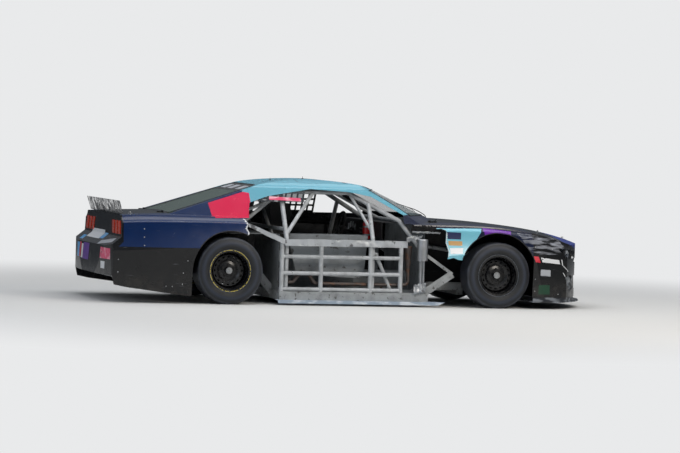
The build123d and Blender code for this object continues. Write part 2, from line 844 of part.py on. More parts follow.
with BuildPart() as halo:
    for side in (-1, 1):
        add(tube(
            [
                (hoop_x, side * halo_y, halo_z),
                (halo_front_x, side * halo_y, halo_z),
                (pillar_foot[0], side * pillar_foot[1], pillar_foot[2]),
            ],
            cage_tube,
            bend=60,
        ))
        add(tube(
            [
                (leg_x + 10, side * 592, 1000),
                (leg_x, side * hoop_foot_y, knee_z),
                (leg_x, side * hoop_foot_y, rail_top),
            ],
            brace_tube + 2,
            bend=120,
        ))
        # From the pillar's foot down to the frame's front corner
        add(tube(
            [
                (pillar_foot[0] - 10, side * (pillar_foot[1] - 6), pillar_foot[2] + 4),
                (rail_front_x - 60, side * (rail_y - 40), 560),
                (rail_front_x - 60, side * (rail_y - 10), rail_top - 10),
            ],
            brace_tube + 2,
            bend=90,
        ))
    add(tube([(halo_front_x - 40, -halo_y, halo_z), (halo_front_x - 40, halo_y, halo_z)], brace_tube))
    add(tube([(pillar_foot[0] - 20, -685, 846), (pillar_foot[0] - 20, 685, 846)], brace_tube))
    add(tube([(halo_front_x - 40, 0, halo_z), (pillar_foot[0] - 20, 0, 846)], 14))
    # The right side has a gusset down to the leg, and a brace back down to the hoop
    add(tube([(halo_front_x + 10, -halo_y - 4, halo_z - 4), (leg_x - 4, -730, 756)], brace_tube - 4))
    brace_top = (halo_front_x - 358, -halo_y - 2, halo_z - 2)
    add(tube([brace_top, (hoop_x, -hoop_foot_y + 30, 690)], brace_tube))
    add(main_hoop.part, mode=Mode.SUBTRACT)
    add(frame.part, mode=Mode.SUBTRACT)
save(halo, "halo")

# Door bars: straight on the right, bowed out on the left
bar_y = rail_y + 16
bar_low_z = rail_top + bar_tube
bar_zs = [bar_low_z, bar_low_z + 157, bar_low_z + 319, bar_low_z + 455]
bar_back_x = hoop_x - 52
bar_front_x = front_axle_x - 998
bar_post_xs = [bar_back_x, bar_back_x + 398, bar_back_x + 905, bar_front_x]
bow_y = 878

with BuildPart() as door_bars:
    for x in bar_post_xs:
        add(tube([(x, -bar_y, rail_top), (x, -bar_y, bar_zs[-1])], bar_tube))
    for z in bar_zs:
        add(tube([(bar_back_x, -bar_y, z), (bar_front_x, -bar_y, z)], bar_tube - 3))
        add(tube(
            [
                (hoop_x, hoop_foot_y, z),
                (hoop_x + 160, bow_y, z),
                (leg_x - 160, bow_y, z),
                (leg_x, hoop_foot_y, z),
            ],
            bar_tube - 3,
            bend=120,
        ))
    for z in (bar_zs[1], bar_zs[3]):
        add(tube([(bar_back_x + 10, -bar_y, z), (hoop_x, -hoop_foot_y, z)], 10))
        add(tube([(bar_post_xs[2], -bar_y, z), (leg_x, -hoop_foot_y, z)], 10))
    foot_x = bar_front_x - 80
    add(tube([(leg_x + 40, -bar_y + 60, bar_zs[2] + 40), (foot_x, -bar_y + 40, rail_top)], bar_tube - 4))
    add(tube([(leg_x, -hoop_foot_y + 10, bar_zs[2] + 40), (leg_x + 50, -bar_y + 60, bar_zs[2] + 40)], 12))
    for x in (hoop_x + 300, leg_x - 300):
        add(tube([(x, bow_y, bar_zs[0]), (x, bow_y, bar_zs[-1])], bar_tube - 5))
    add(main_hoop.part, mode=Mode.SUBTRACT)
    add(halo.part, mode=Mode.SUBTRACT)
    add(frame.part, mode=Mode.SUBTRACT)
save(door_bars, "door_bars")

# Crumpled sheet beam along the top of the right door bars
Dent = namedtuple("Dent", "x outward")
dents = [
    Dent(hoop_x - 34, 0),
    Dent(hoop_x + 200, 7),
    Dent(hoop_x + 370, -5),
    Dent(hoop_x + 620, 9),
    Dent(hoop_x + 830, -6),
    Dent(hoop_x + 1010, 5),
    Dent(hoop_x + 1223, -14),
]
sheet = 4
beam_z = bar_zs[-1] - 30
beam_top_z = beam_z + 66
face_y = bar_y + bar_tube + 8
with BuildPart() as sill_beam:
    with BuildSketch(Plane.XY.offset(beam_z)):
        with BuildLine():
            Polyline(*[(d.x, -face_y - d.outward) for d in dents])
        trace(line_width=sheet)
    extrude(amount=beam_top_z - beam_z)
    with BuildSketch(Plane.XY.offset(beam_top_z - sheet)):
        with BuildLine():
            Polyline(
                *[(d.x, -face_y - d.outward) for d in dents],
                (dents[-1].x, -bar_y + 14),
                (dents[0].x, -bar_y + 14),
                close=True,
            )
        make_face()
    extrude(amount=sheet)
    # Tongue that runs back up to the torn quarter panel
    add(side_prism(
        [
            (hoop_x - 34, beam_z + 10),
            (hoop_x - 34, beam_top_z),
            (torn_quarter_x + 16, 795),
            (torn_quarter_x + 16, 762),
        ],
        -face_y - sheet / 2,
        -face_y + sheet / 2,
    ))
    add(door_bars.part, mode=Mode.SUBTRACT)
    add(main_hoop.part, mode=Mode.SUBTRACT)
save(sill_beam, "sill_beam")

# Truck arms, which locate the rear axle and pass up through the floor
arm_radius = 26
arm_back = (rear_axle_x - 40, 440, axle_z - 64)
arm_front = (front_axle_x - 1514, 190, 95)


def truck_arms(radius):
    """The two arms, or with a larger radius the room that they need."""
    with BuildPart() as arms:
        for side in (-1, 1):
            back = (arm_back[0], side * arm_back[1], arm_back[2])
            front = (arm_front[0], side * arm_front[1], arm_front[2])
            add(tube([back, front], radius))
    return arms.part


arm_room = truck_arms(arm_radius + 8)

# Floor, firewall and tins
tunnel_radius = 190
tin = 3
floor_half = 780
deck_z = 690
with BuildPart() as floor_pan:
    add(block(rail_back_x, rail_front_x, -floor_half, floor_half, rail_top, rail_top + tin))
    add(block(rail_front_x - tin, rail_front_x, -floor_half + 60, floor_half - 60, rail_top, belt_z + 40))
    with BuildSketch(Plane.YZ.offset(rail_back_x)):
        with Locations((0, rail_top)):
            Circle(tunnel_radius)
    extrude(amount=rail_front_x - rail_back_x)
    with BuildSketch(Plane.YZ.offset(rail_back_x)):
        with Locations((0, rail_top)):
            Circle(tunnel_radius - tin)
    extrude(amount=rail_front_x - rail_back_x, mode=Mode.SUBTRACT)
    inside = tunnel_radius - tin
    below = block(rail_back_x, rail_front_x, -tunnel_radius, tunnel_radius, -200, rail_top)
    add(below, mode=Mode.SUBTRACT)
    under_tunnel = block(rail_back_x, rail_front_x, -inside, inside, -200, rail_top + tin + 1)
    add(under_tunnel, mode=Mode.SUBTRACT)
    add(arm_room, mode=Mode.SUBTRACT)
    add(body_inner, mode=Mode.INTERSECT)
    add(frame.part, mode=Mode.SUBTRACT)
    add(halo.part, mode=Mode.SUBTRACT)
    add(main_hoop.part, mode=Mode.SUBTRACT)
save(floor_pan, "floor_pan")

# Tins: a bulkhead with the deck over the axle, and the box over the exhaust on the right
bulkhead_x = hoop_x - 60
side_tin_y = 742
with BuildPart() as tins:
    add(block(bulkhead_x, bulkhead_x + tin, -760, 760, rail_top + tin, deck_z))
    add(block(back_glass_base[0] + 130, bulkhead_x + tin, -690, 690, deck_z - tin, deck_z))
    add(side_prism(
        [
            (hoop_x + 40, deck_z),
            (hoop_x + 60, 560),
            (hoop_x + 120, 330),
            (hoop_x + 330, 290),
            (leg_x - 120, 270),
            (leg_x - 60, 330),
            (leg_x - 30, deck_z),
        ],
        -side_tin_y,
        -side_tin_y + tin,
    ))
    add(block(hoop_x + 40, leg_x - 30, -side_tin_y, -360, deck_z - tin, deck_z))
    add(block(hoop_x + 120, leg_x - 60, -363, -360, rail_top + tin, deck_z))
    with BuildSketch(Plane.YZ.offset(bulkhead_x - 1)):
        with Locations((0, rail_top)):
            Circle(tunnel_radius)
    extrude(amount=tin + 2, mode=Mode.SUBTRACT)
    add(arm_room, mode=Mode.SUBTRACT)
    add(frame.part, mode=Mode.SUBTRACT)
    add(main_hoop.part, mode=Mode.SUBTRACT)
    add(halo.part, mode=Mode.SUBTRACT)
save(tins, "tins")

# Engine with its gearbox, driveshaft and fuel cell
engine_rear_x = rail_front_x + 44
engine_front_x = front_axle_x - 90
shaft_z = 215
gearbox_length = 460
bell_radius = 100
with BuildPart() as engine:
    add(front_prism(
        [
            (-150, 175),
            (150, 175),
            (165, 330),
            (330, 545),
            (210, 640),
            (-210, 640),
            (-330, 545),
            (-165, 330),
        ],
        engine_rear_x,
        engine_front_x,
    ))
    add(block(engine_rear_x + 120, engine_front_x - 140, -150, 150, 640, 700))
    # Mounts out to the frame rails
    mount_y = front_rail_y - clip_width / 2
    add(block(engine_rear_x + 240, engine_rear_x + 300, -mount_y, mount_y, 184, 216))
    with BuildSketch(Plane.YZ.offset(engine_rear_x - gearbox_length)):
        with Locations((0, shaft_z)):
            Circle(bell_radius - 24)
    with BuildSketch(Plane.YZ.offset(engine_rear_x)):
        with Locations((0, shaft_z)):
            Circle(bell_radius)
    loft()
save(engine, "engine")

cell_back_x = cross_bar_xs[1] - 30
cell_front_x = cross_bar_xs[0] + 30
cell_bottom_z = rear_rail_z + 20
with BuildPart() as fuel_cell:
    add(block(cell_back_x, cell_front_x, -330, 330, cell_bottom_z, 600))
    with Locations((cell_front_x - 140, 200, 600)):
        Cylinder(70, 14, align=upright)
save(fuel_cell, "fuel_cell")

# Rear axle with its truck arms
axle_half = wheel_outer_y - (tyre_width - rim_width) / 2 - hub_recess - 8
hub_length = 66
track_y = axle_half - hub_length - gap
with BuildPart() as rear_axle:
    add(tube([(rear_axle_x, -track_y, axle_z), (rear_axle_x, track_y, axle_z)], 45))
    with Locations((rear_axle_x, 0, axle_z)):
        Sphere(150)
    with BuildSketch(Plane.YZ.offset(rear_axle_x)):
        with Locations((0, axle_z - 10)):
            Circle(105)
    with BuildSketch(Plane.YZ.offset(rear_axle_x + 230)):
        with Locations((0, axle_z - 40)):
            Circle(58)
    loft()
    for side in (-1, 1):
        near, far = sorted((side * (track_y - 6), side * track_y))
        add(lying_disc(rear_axle_x, axle_z, near, far, 66))
        near, far = sorted((side * 400, side * 480))
        add(block(rear_axle_x - 60, rear_axle_x + 60, near, far, axle_z - 84, axle_z - 20))
        add(block(rear_axle_x - 40, rear_axle_x + 40, near, far, axle_z + 20, rear_kick_z - 60))
    add(truck_arms(arm_radius))
    # Driveshaft
    shaft_front_x = engine_rear_x - gearbox_length - gap
    add(tube([(rear_axle_x + 210, 0, axle_z - 38), (shaft_front_x, 0, shaft_z)], 42))
    add(frame.part, mode=Mode.SUBTRACT)
    add(engine.part, mode=Mode.SUBTRACT)
save(rear_axle, "rear_axle")

# Wheels. The profile runs from the hub out to the rim, and turns about the axle
disc_r = 138
barrel_drop = 176
flange_half = rim_width / 2
disc_face = flange_half - hub_recess
slot_count = 16


def wheel(centre_x, side):
    """A steel wheel with its hub and brake disc, built round the axle and set in place."""
    outward = side

    def at(radius, along):
        return (radius, outward * along)

    with BuildPart() as piece:
        axis_plane = Plane(
            origin=(centre_x, side * wheel_mid_y, axle_z), x_dir=(1, 0, 0), z_dir=(0, 0, 1)
        )
        with BuildSketch(axis_plane):
            with BuildLine():
                Polyline(
                    at(rim_radius, flange_half),
                    at(rim_radius, flange_half - 7),
                    at(190.5, flange_half - 9),
                    at(188.5, flange_half - 46),
                    at(barrel_drop, flange_half - 64),
                    at(barrel_drop, -flange_half + 64),
                    at(188.5, -flange_half + 46),
                    at(190.5, -flange_half + 9),
                    at(rim_radius, -flange_half + 7),
                    at(rim_radius, -flange_half),
                    at(190.5 - rim_wall, -flange_half + 4),
                    at(188.5 - rim_wall, -flange_half + 48),
                    at(barrel_drop - rim_wall, -flange_half + 67),
                    at(barrel_drop - rim_wall, disc_face - 24),
                    at(150, disc_face - 2),
                    at(118, disc_face),
                    at(92, disc_face - 16),
                    at(70, disc_face - 8),
                    at(0, disc_face - 8),
                    at(0, disc_face),
                    at(66, disc_face),
                    at(92, disc_face - 8),
                    at(116, disc_face + 8),
                    at(152, disc_face + 6),
                    at(barrel_drop - rim_wall, disc_face - 14),
                    at(barrel_drop - rim_wall, flange_half - 67),
                    at(188.5 - rim_wall, flange_half - 48),
                    at(190.5 - rim_wall, flange_half - 4),
                    close=True,
                )
            make_face()
        revolve(axis=Axis((centre_x, side * wheel_mid_y, axle_z), (0, 1, 0)))
        y_face = side * (wheel_mid_y + disc_face - 8)
        hub_end = y_face - side * hub_length
        near, far = sorted((y_face, hub_end))
        add(lying_disc(centre_x, axle_z, near, far, 44))
        near, far = sorted((hub_end, hub_end + side * 24))
        add(lying_disc(centre_x, axle_z, near, far, disc_r))
        # Centre cap and the slots round the disc
        near, far = sorted((y_face, y_face + side * 46))
        add(lying_disc(centre_x, axle_z, near, far, 34))
        with BuildSketch(Plane.XZ.offset(-side * (wheel_mid_y + disc_face))):
            with Locations((centre_x, axle_z)):
                with PolarLocations(136, slot_count):
                    SlotCenterToCenter(12, 15, rotation=90)
        extrude(amount=30, both=True, mode=Mode.SUBTRACT)
    return piece


def tyre(centre_x, side):
    """A slick tyre on its rim."""
    half = tyre_width / 2
    tread = half - 16
    with BuildPart() as piece:
        centre = (centre_x, side * wheel_mid_y, axle_z)
        with BuildSketch(Plane(origin=centre, x_dir=(1, 0, 0), z_dir=(0, 0, 1))):
            with BuildLine():
                Line((tyre_radius, -tread + 22), (tyre_radius, tread - 22))
                for way in (-1, 1):
                    tread_edge = (tyre_radius, way * (tread - 22))
                    shoulder = (tyre_radius - 24, way * (tread + 3))
                    bead = (rim_radius + 4, way * (flange_half + 6))
                    ThreePointArc(tread_edge, (tyre_radius - 7, way * (tread - 5)), shoulder)
                    ThreePointArc(shoulder, (268, way * half), bead)
                Polyline(
                    (rim_radius + 4, flange_half + 6),
                    (rim_radius + 0.5, flange_half - 7),
                    (rim_radius, flange_half - 7),
                    (190.5, flange_half - 9),
                    (188.5, flange_half - 46),
                    (206, flange_half - 46),
                    (206, -flange_half + 46),
                    (188.5, -flange_half + 46),
                    (190.5, -flange_half + 9),
                    (rim_radius, -flange_half + 7),
                    (rim_radius + 0.5, -flange_half + 7),
                    (rim_radius + 4, -flange_half - 6),
                )
            make_face()
        revolve(axis=Axis(centre, (0, 1, 0)))
    return piece


places = {
    "front_left": (front_axle_x, 1),
    "front_right": (front_axle_x, -1),
    "rear_left": (rear_axle_x, 1),
    "rear_right": (rear_axle_x, -1),
}
for place, (x, side) in places.items():
    save(wheel(x, side), f"wheel_{place}")
    save(tyre(x, side), f"tyre_{place}")

# Suspension. The kingpin stands upright, so its ends are flat faces with a running gap
ball_low_z = 200
ball_high_z = 456
boss_radius = 17
steer_arm = 115
steer_arm_z = 237
spring_x = rear_axle_x + 105
with BuildPart() as suspension:
    for side in (-1, 1):
        inner_y = side * (front_rail_y + 22)
        pin_y = side * kingpin_y
        for fore in (-1, 1):
            add(tube([(front_axle_x + fore * 110, inner_y, 192), (front_axle_x, pin_y, 185)], 13))
            upper_end = (front_axle_x + fore * 80, side * (front_rail_y + 45), 440)
            add(tube([upper_end, (front_axle_x, pin_y, 468)], 11))
        near, far = sorted((side * 572, side * 630))
        add(block(front_axle_x - 42, front_axle_x + 42, near, far, 178, 196))
        with Locations((front_axle_x, pin_y, 0)):
            with Locations((0, 0, 170)):
                Cylinder(boss_radius, ball_low_z - gap - 170, align=upright)
            with Locations((0, 0, ball_high_z + gap)):
                Cylinder(boss_radius, 22, align=upright)
        # Front strut, and the rear spring under its rail
        add(tube([(front_axle_x, side * 600, 190), (front_axle_x, side * 452, 490)], 22))
        spring_y = side * (rear_rail_y - 40)
        add(tube([(spring_x, spring_y, axle_z - 72), (spring_x, spring_y, rear_kick_z - 40)], 40))
    add(frame.part, mode=Mode.SUBTRACT)
    add(rear_axle.part, mode=Mode.SUBTRACT)
    for side in (-1, 1):
        near, far = sorted((side * 690, side * 790))
        between = (ball_low_z - gap, ball_high_z + gap)
        add(block(front_axle_x - 60, front_axle_x + 60, near, far, *between), mode=Mode.SUBTRACT)
save(suspension, "suspension")


def knuckle(side):
    """Upright with its hub flange, steering arm and brake caliper."""
    with BuildPart() as piece:
        y = side * kingpin_y
        near, far = sorted((side * (kingpin_y - 24), side * (kingpin_y + 8)))
        add(side_prism(
            [
                (front_axle_x - 26, ball_low_z),
                (front_axle_x + 26, ball_low_z),
                (front_axle_x + 36, axle_z),
                (front_axle_x + 22, ball_high_z),
                (front_axle_x - 22, ball_high_z),
                (front_axle_x - 36, axle_z),
            ],
            near,
            far,
        ))
        near, far = sorted((side * (kingpin_y - 4), side * (track_y)))
        add(lying_disc(front_axle_x, axle_z, near, far, 62))
        # Steering arm
        near, far = sorted((side * (kingpin_y - 16), side * (kingpin_y + 16)))
        add(block(front_axle_x, front_axle_x + steer_arm, near, far, steer_arm_z, steer_arm_z + 16))
        with Locations((front_axle_x + steer_arm, y, steer_arm_z)):
            Cylinder(16, 16, align=upright)
        # Caliper, with a slot that clears the disc
        near, far = sorted((side * (kingpin_y - 8), side * (kingpin_y + 70)))
        add(block(front_axle_x - 158, front_axle_x - 90, near, far, axle_z - 42, axle_z + 42))
        near, far = sorted((side * (kingpin_y - 8), side * (kingpin_y + 10)))
        add(block(front_axle_x - 100, front_axle_x, near, far, axle_z - 25, axle_z + 25))
        near, far = sorted((side * (track_y + gap - 5), side * (track_y + gap + 29)))
        disc_slot = block(front_axle_x - 145, front_axle_x - 70, near, far, axle_z - 43, axle_z + 43)
        add(disc_slot, mode=Mode.SUBTRACT)
    return piece


save(knuckle(1), "knuckle_left")
save(knuckle(-1), "knuckle_right")

link_z = steer_arm_z + 16 + gap + 11
with BuildPart() as steering_link:
    x = front_axle_x + steer_arm
    add(tube([(x, -kingpin_y, link_z), (x, kingpin_y, link_z)], 10))
    for side in (-1, 1):
        with Locations((x, side * kingpin_y, link_z - 11)):
            Cylinder(16, 22, align=upright)
save(steering_link, "steering_link")

# Seat: a bent base and back between two side wings
seat_y = 400
seat_half = 200
seat_sheet = 6
seat_back_x = front_axle_x - 2070
with BuildPart() as seat:
    with BuildSketch(Plane.XZ.offset(-(seat_y + seat_half))):
        with BuildLine():
            FilletPolyline(
                (seat_back_x + 470, 320),
                (seat_back_x + 180, 245),
                (seat_back_x + 40, 430),
                (seat_back_x, 985),
                radius=60,
            )
        trace(line_width=seat_sheet)
    extrude(amount=2 * seat_half)
    for side in (-1, 1):
        near, far = sorted((seat_y + side * seat_half, seat_y + side * (seat_half - seat_sheet)))
        add(side_prism(
            [
                (seat_back_x + 470, 305),
                (seat_back_x + 470, 400),
                (seat_back_x + 260, 410),
                (seat_back_x + 190, 600),
                (seat_back_x + 130, 700),
                (seat_back_x + 230, 860),
                (seat_back_x + 190, 970),
                (seat_back_x - 12, 990),
                (seat_back_x + 26, 430),
                (seat_back_x + 120, 260),
                (seat_back_x + 130, rail_top + tin),
                (seat_back_x + 400, rail_top + tin),
            ],
            near,
            far,
        ))
    add(arm_room, mode=Mode.SUBTRACT)
save(seat, "seat")

# Dashboard and the steering wheel on its column
dash_x = front_axle_x - 1152
dash_z = 610
dash_top_z = 846 - brace_tube
wheel_centre = Vector(front_axle_x - 1300, seat_y, 735)
column_slope = 16
column = Vector(cos(radians(column_slope)), 0, -sin(radians(column_slope)))
shaft_radius = 13
shaft_length = 440
with BuildPart() as dashboard:
    with BuildSketch(Plane.XZ.offset(-690)):
        with BuildLine():
            Polyline(
                (dash_x + 60, dash_z),
                (dash_x, dash_z + 60),
                (dash_x, dash_top_z - 2),
                (pillar_foot[0] - 20, dash_top_z - 2),
            )
        trace(line_width=tin)
    extrude(amount=1380)
    with BuildSketch(Plane(origin=wheel_centre, z_dir=column)):
        Circle(shaft_radius + gap + 0.2)
    extrude(amount=shaft_length + 40, mode=Mode.SUBTRACT)
    add(halo.part, mode=Mode.SUBTRACT)
save(dashboard, "dashboard")

with BuildPart() as steering_wheel:
    rim_plane = Plane(origin=wheel_centre, z_dir=column)
    with BuildSketch(rim_plane):
        Circle(30)
        for turn in (0, 130, 230):
            with PolarLocations(0, 1, start_angle=turn):
                with Locations((78, 0)):
                    Rectangle(156, 26)
    extrude(amount=6)
    add(Solid.make_torus(160, 13, rim_plane.offset(3)))
    with BuildSketch(rim_plane):
        Circle(shaft_radius)
    extrude(amount=shaft_length)
    with BuildSketch(rim_plane.offset(20)):
        Circle(26)
    extrude(amount=60)
save(steering_wheel, "steering_wheel")

# Exhaust along the right side, and the tank beside the torn fender
pipe_y = -790
pipe_z = 212
with BuildPart() as exhaust:
    with BuildSketch(Plane.YZ.offset(leg_x - 524)):
        with Locations((pipe_y, pipe_z)):
            SlotOverall(76, 36)
    extrude(amount=854)
    riser_x = leg_x + 381
    riser = [(riser_x - 71, pipe_y, pipe_z), (riser_x, pipe_y, pipe_z), (riser_x, pipe_y + 16, 372)]
    add(tube(riser, 17, bend=50))
    with BuildSketch(Plane.XY.offset(346)):
        with Locations((riser_x, pipe_y + 15)):
            Circle(19)
    with BuildSketch(Plane.XY.offset(600)):
        with Locations((riser_x - 6, pipe_y + 10)):
            Circle(46)
    loft()
    for y in (pipe_y - 18, pipe_y + 18):
        add(tube(
            [
                (leg_x - 500, y, pipe_z),
                (leg_x - 580, y, pipe_z),
                (leg_x - 640, y, pipe_z + 95),
                (leg_x - 740, y, pipe_z + 95),
                (leg_x - 800, y, pipe_z + 10),
                (leg_x - 850, y, pipe_z + 10),
            ],
            17,
            bend=44,
        ))
    hanger_y = -rail_y + rail_width / 2 - 10
    for x in (leg_x - 440, leg_x + 100):
        add(block(x - 12, x + 12, hanger_y, hanger_y + 6, rail_top, pipe_z))
    add(main_hoop.part, mode=Mode.SUBTRACT)
    add(halo.part, mode=Mode.SUBTRACT)
    add(door_bars.part, mode=Mode.SUBTRACT)
save(exhaust, "exhaust")

tank_x = front_axle_x - 785
tank_y = -884
tank_radius = 54
with BuildPart() as oil_tank:
    with BuildSketch(Plane.XY.offset(458)):
        with Locations((tank_x, tank_y)):
            Circle(tank_radius)
    extrude(amount=214)
    fillet(oil_tank.edges().group_by(Axis.Z)[-1], 10)
    for x, y in ((tank_x - 8, -rail_y - 24), (tank_x + 24, -rail_y - 20)):
        add(tube([(x, y, rail_top), (x, y, 470)], 10))
save(oil_tank, "oil_tank")


# Spoiler on the deck lid's rear edge
spoiler_half = 776
spoiler_height = 132
spoiler_lean = 52
spoiler_x = deck_rear_x + 22
spoiler_base_z = skin_z(body_outer, spoiler_x, 0)
lid_edge_z = skin_z(body_outer, spoiler_x, lid_side)
with BuildPart() as spoiler:
    add(side_prism(
        [
            (spoiler_x, spoiler_base_z - 40),
            (spoiler_x + 5, spoiler_base_z - 40),
            (spoiler_x - spoiler_lean + 5, spoiler_base_z + spoiler_height),
            (spoiler_x - spoiler_lean, spoiler_base_z + spoiler_height),
        ],
        -spoiler_half,
        spoiler_half,
    ))
    for y in (-450, -150, 150, 450):
        add(side_prism(
            [
                (spoiler_x + 66, spoiler_base_z - 40),
                (spoiler_x, spoiler_base_z - 40),
                (spoiler_x - spoiler_lean * 0.7, spoiler_base_z + spoiler_height * 0.7),
            ],
            y - 2.5,
            y + 2.5,
        ))
    add(body_outer, mode=Mode.SUBTRACT)
    for side in (-1, 1):
        near, far = sorted((side * (lid_side - 9), side * 1000))
        add(block(rear_end - 50, spoiler_x + 90, near, far, 600, lid_edge_z + 7), mode=Mode.SUBTRACT)
save(spoiler, "spoiler")

# Splitter with its air dam
with BuildPart() as dam_ring:
    add(body_inner)
    add(dam_core, mode=Mode.SUBTRACT)
    add(block(nose_seam_x + 10, front_end, -1000, 1000, 78, nose_low_z + 6), mode=Mode.INTERSECT)
splitter_z = 66
splitter_thickness = 14
splitter_half = 938
with BuildPart() as splitter:
    with BuildSketch(Plane.XY.offset(splitter_z)):
        with BuildLine():
            Polyline(
                (front_axle_x + 616, splitter_half),
                (nose_seam_x + 10, splitter_half - 12),
                (nose_seam_x + 10, -splitter_half + 12),
                (front_axle_x + 616, -splitter_half),
            )
            ThreePointArc(
                (front_axle_x + 616, -splitter_half), (front_end, 0), (front_axle_x + 616, splitter_half)
            )
        make_face()
    extrude(amount=splitter_thickness)
    fillet(splitter.edges().group_by(Axis.Z)[-1].sort_by(Axis.X)[-1], 5)
    add(dam_ring.part)
save(splitter, "splitter")

# Side skirts under the frame rails
skirt_half = 926
skirt_low_z = 20
with BuildPart() as side_skirts:
    for side in (-1, 1):
        near, far = side * (rail_y - rail_width / 2), side * skirt_half
        add(plan_prism(
            [
                (hoop_x - 100, near),
                (cowl_x - 60, near),
                (cowl_x + 9, far),
                (hoop_x - 100, far),
            ],
            rail_z - tin,
            rail_z,
        ))
        near, far = sorted((side * skirt_half, side * (skirt_half - tin)))
        add(side_prism(
            [
                (hoop_x - 100, rail_z),
                (hoop_x - 92, skirt_low_z),
                (cowl_x - 60, skirt_low_z),
                (cowl_x + 9, rail_z),
            ],
            near,
            far,
        ))
save(side_skirts, "side_skirts")

# Window net in the driver's window, a lattice of straps inside the roof's edge
net_back_x = post_front_x + 50
net_strap = 20
net_pitch = 62
net_straps_across = 10
net_front_x = net_back_x + (net_straps_across - 1) * net_pitch + net_strap
net_core = cabin_shape(skin + 3)
with BuildPart() as net_straps:
    for i in range(net_straps_across):
        x = net_back_x + i * net_pitch
        add(block(x, x + net_strap, 0, 1000, 850, 1150))
    for i in range(4):
        z = 872 + i * net_pitch
        add(block(net_back_x, net_front_x, 0, 1000, z, z + net_strap))
with BuildPart() as window_net:
    add(cabin_inner)
    add(net_core, mode=Mode.SUBTRACT)
    add(net_straps.part, mode=Mode.INTERSECT)
save(window_net, "window_net")
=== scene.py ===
import math
import random

import bmesh
import bpy
from mathutils import Matrix, Vector, noise
from mathutils.bvhtree import BVHTree


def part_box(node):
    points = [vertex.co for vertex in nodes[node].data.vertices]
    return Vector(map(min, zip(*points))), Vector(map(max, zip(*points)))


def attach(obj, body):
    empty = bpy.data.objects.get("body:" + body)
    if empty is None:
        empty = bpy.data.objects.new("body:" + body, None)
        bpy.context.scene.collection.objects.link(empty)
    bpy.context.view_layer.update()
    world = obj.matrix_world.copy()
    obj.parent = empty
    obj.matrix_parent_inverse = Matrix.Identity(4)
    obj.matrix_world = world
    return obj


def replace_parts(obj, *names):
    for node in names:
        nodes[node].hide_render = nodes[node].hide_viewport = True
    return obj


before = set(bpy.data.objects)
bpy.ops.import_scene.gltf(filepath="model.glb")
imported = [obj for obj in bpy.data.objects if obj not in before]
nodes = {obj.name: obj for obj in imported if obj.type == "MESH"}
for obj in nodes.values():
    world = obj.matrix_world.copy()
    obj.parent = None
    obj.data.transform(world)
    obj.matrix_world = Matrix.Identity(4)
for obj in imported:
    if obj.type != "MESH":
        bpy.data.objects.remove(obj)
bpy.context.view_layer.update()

random.seed(11)
mm = 0.001
bpy.context.scene.view_settings.view_transform = "Standard"


def middle(name):
    low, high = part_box(name)
    return (low + high) / 2


# Lengths along the car are measured from the front axle, forwards positive
frontAxle = middle("tyre_front_right").x
rearAxle = middle("tyre_rear_right").x
axleHeight = middle("wheel_rear_right").z
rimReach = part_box("wheel_rear_right")[1].z - axleHeight


def ahead(x):
    return frontAxle + x * mm


print("frame loaded:", len(nodes), "nodes, wheelbase", round(frontAxle - rearAxle, 3))

# Camera: a long lens from the right rear quarter, a little above the hubs
cameraView = {
    "azimuth": -15.4,  # degrees, from square on to the right side
    "elevation": 1.8,
    "roll": 1.7,
    "distance": 37.6,
    "lens": 202.5,
    "sensor": 36,  # mm wide
    "farthest": 300,  # metres
    "aim": (ahead(-1643), -0.900, 0.783),
}


def addObject(name, data):
    obj = bpy.data.objects.new(name, data)
    bpy.context.scene.collection.objects.link(obj)
    return obj


def makeCamera(view):
    data = bpy.data.cameras.new("camera")
    camera = addObject("camera", data)
    turn = Matrix.Rotation(math.radians(view["azimuth"]), 4, "Z")
    tilt = Matrix.Rotation(math.radians(90 - view["elevation"]), 4, "X")
    roll = Matrix.Rotation(math.radians(view["roll"]), 4, "Z")
    facing = turn @ tilt @ roll
    back = facing.to_3x3() @ Vector((0, 0, 1))
    camera.matrix_world = Matrix.Translation(Vector(view["aim"]) + back * view["distance"]) @ facing
    data.lens = view["lens"]
    data.sensor_width = view["sensor"]
    data.clip_end = view["farthest"]
    bpy.context.scene.camera = camera


makeCamera(cameraView)


# Colours are written as sRGB hex and turned to linear here
def linear(hexText):
    values = [int(hexText[i : i + 2], 16) / 255 for i in (1, 3, 5)]
    return tuple(v / 12.92 if v <= 0.04045 else ((v + 0.055) / 1.055) ** 2.4 for v in values) + (1.0,)


# Adds a shader node with its inputs and settings, and gives back one output
def addNode(tree, kind, inputs=(), out=0, **settings):
    node = tree.nodes.new("ShaderNode" + kind)
    for key, value in settings.items():
        setattr(node, key, value)
    for key, value in inputs.items() if isinstance(inputs, dict) else enumerate(inputs):
        if isinstance(value, bpy.types.NodeSocket):
            tree.links.new(value, node.inputs[key])
        else:
            node.inputs[key].default_value = value
    return node.outputs[out]


# A material with its object coordinates in metres
def newMaterial(name):
    material = bpy.data.materials.new(name)
    material.use_nodes = True
    tree = material.node_tree
    return material, tree, addNode(tree, "TexCoord", out=3)


def setShader(tree, values):
    shader = tree.nodes["Principled BSDF"]
    for key, value in values.items():
        if isinstance(value, bpy.types.NodeSocket):
            tree.links.new(value, shader.inputs[key])
        else:
            shader.inputs[key].default_value = value


cloudSpan = (0.2, 0.8)  # the noise seldom leaves this span


# Grain of a real size in millimetres; with low and high it is cut to a soft 0 to 1 mask
def grain(tree, place, size, detail=4.0, stretch=(1, 1, 1), low=None, high=None):
    spread = addNode(tree, "VectorMath", [place, stretch], operation="MULTIPLY")
    cloud = addNode(tree, "TexNoise", {"Vector": spread, "Scale": 1 / (size * mm), "Detail": detail})
    return cloud if low is None else addNode(tree, "MapRange", [cloud, low, high])


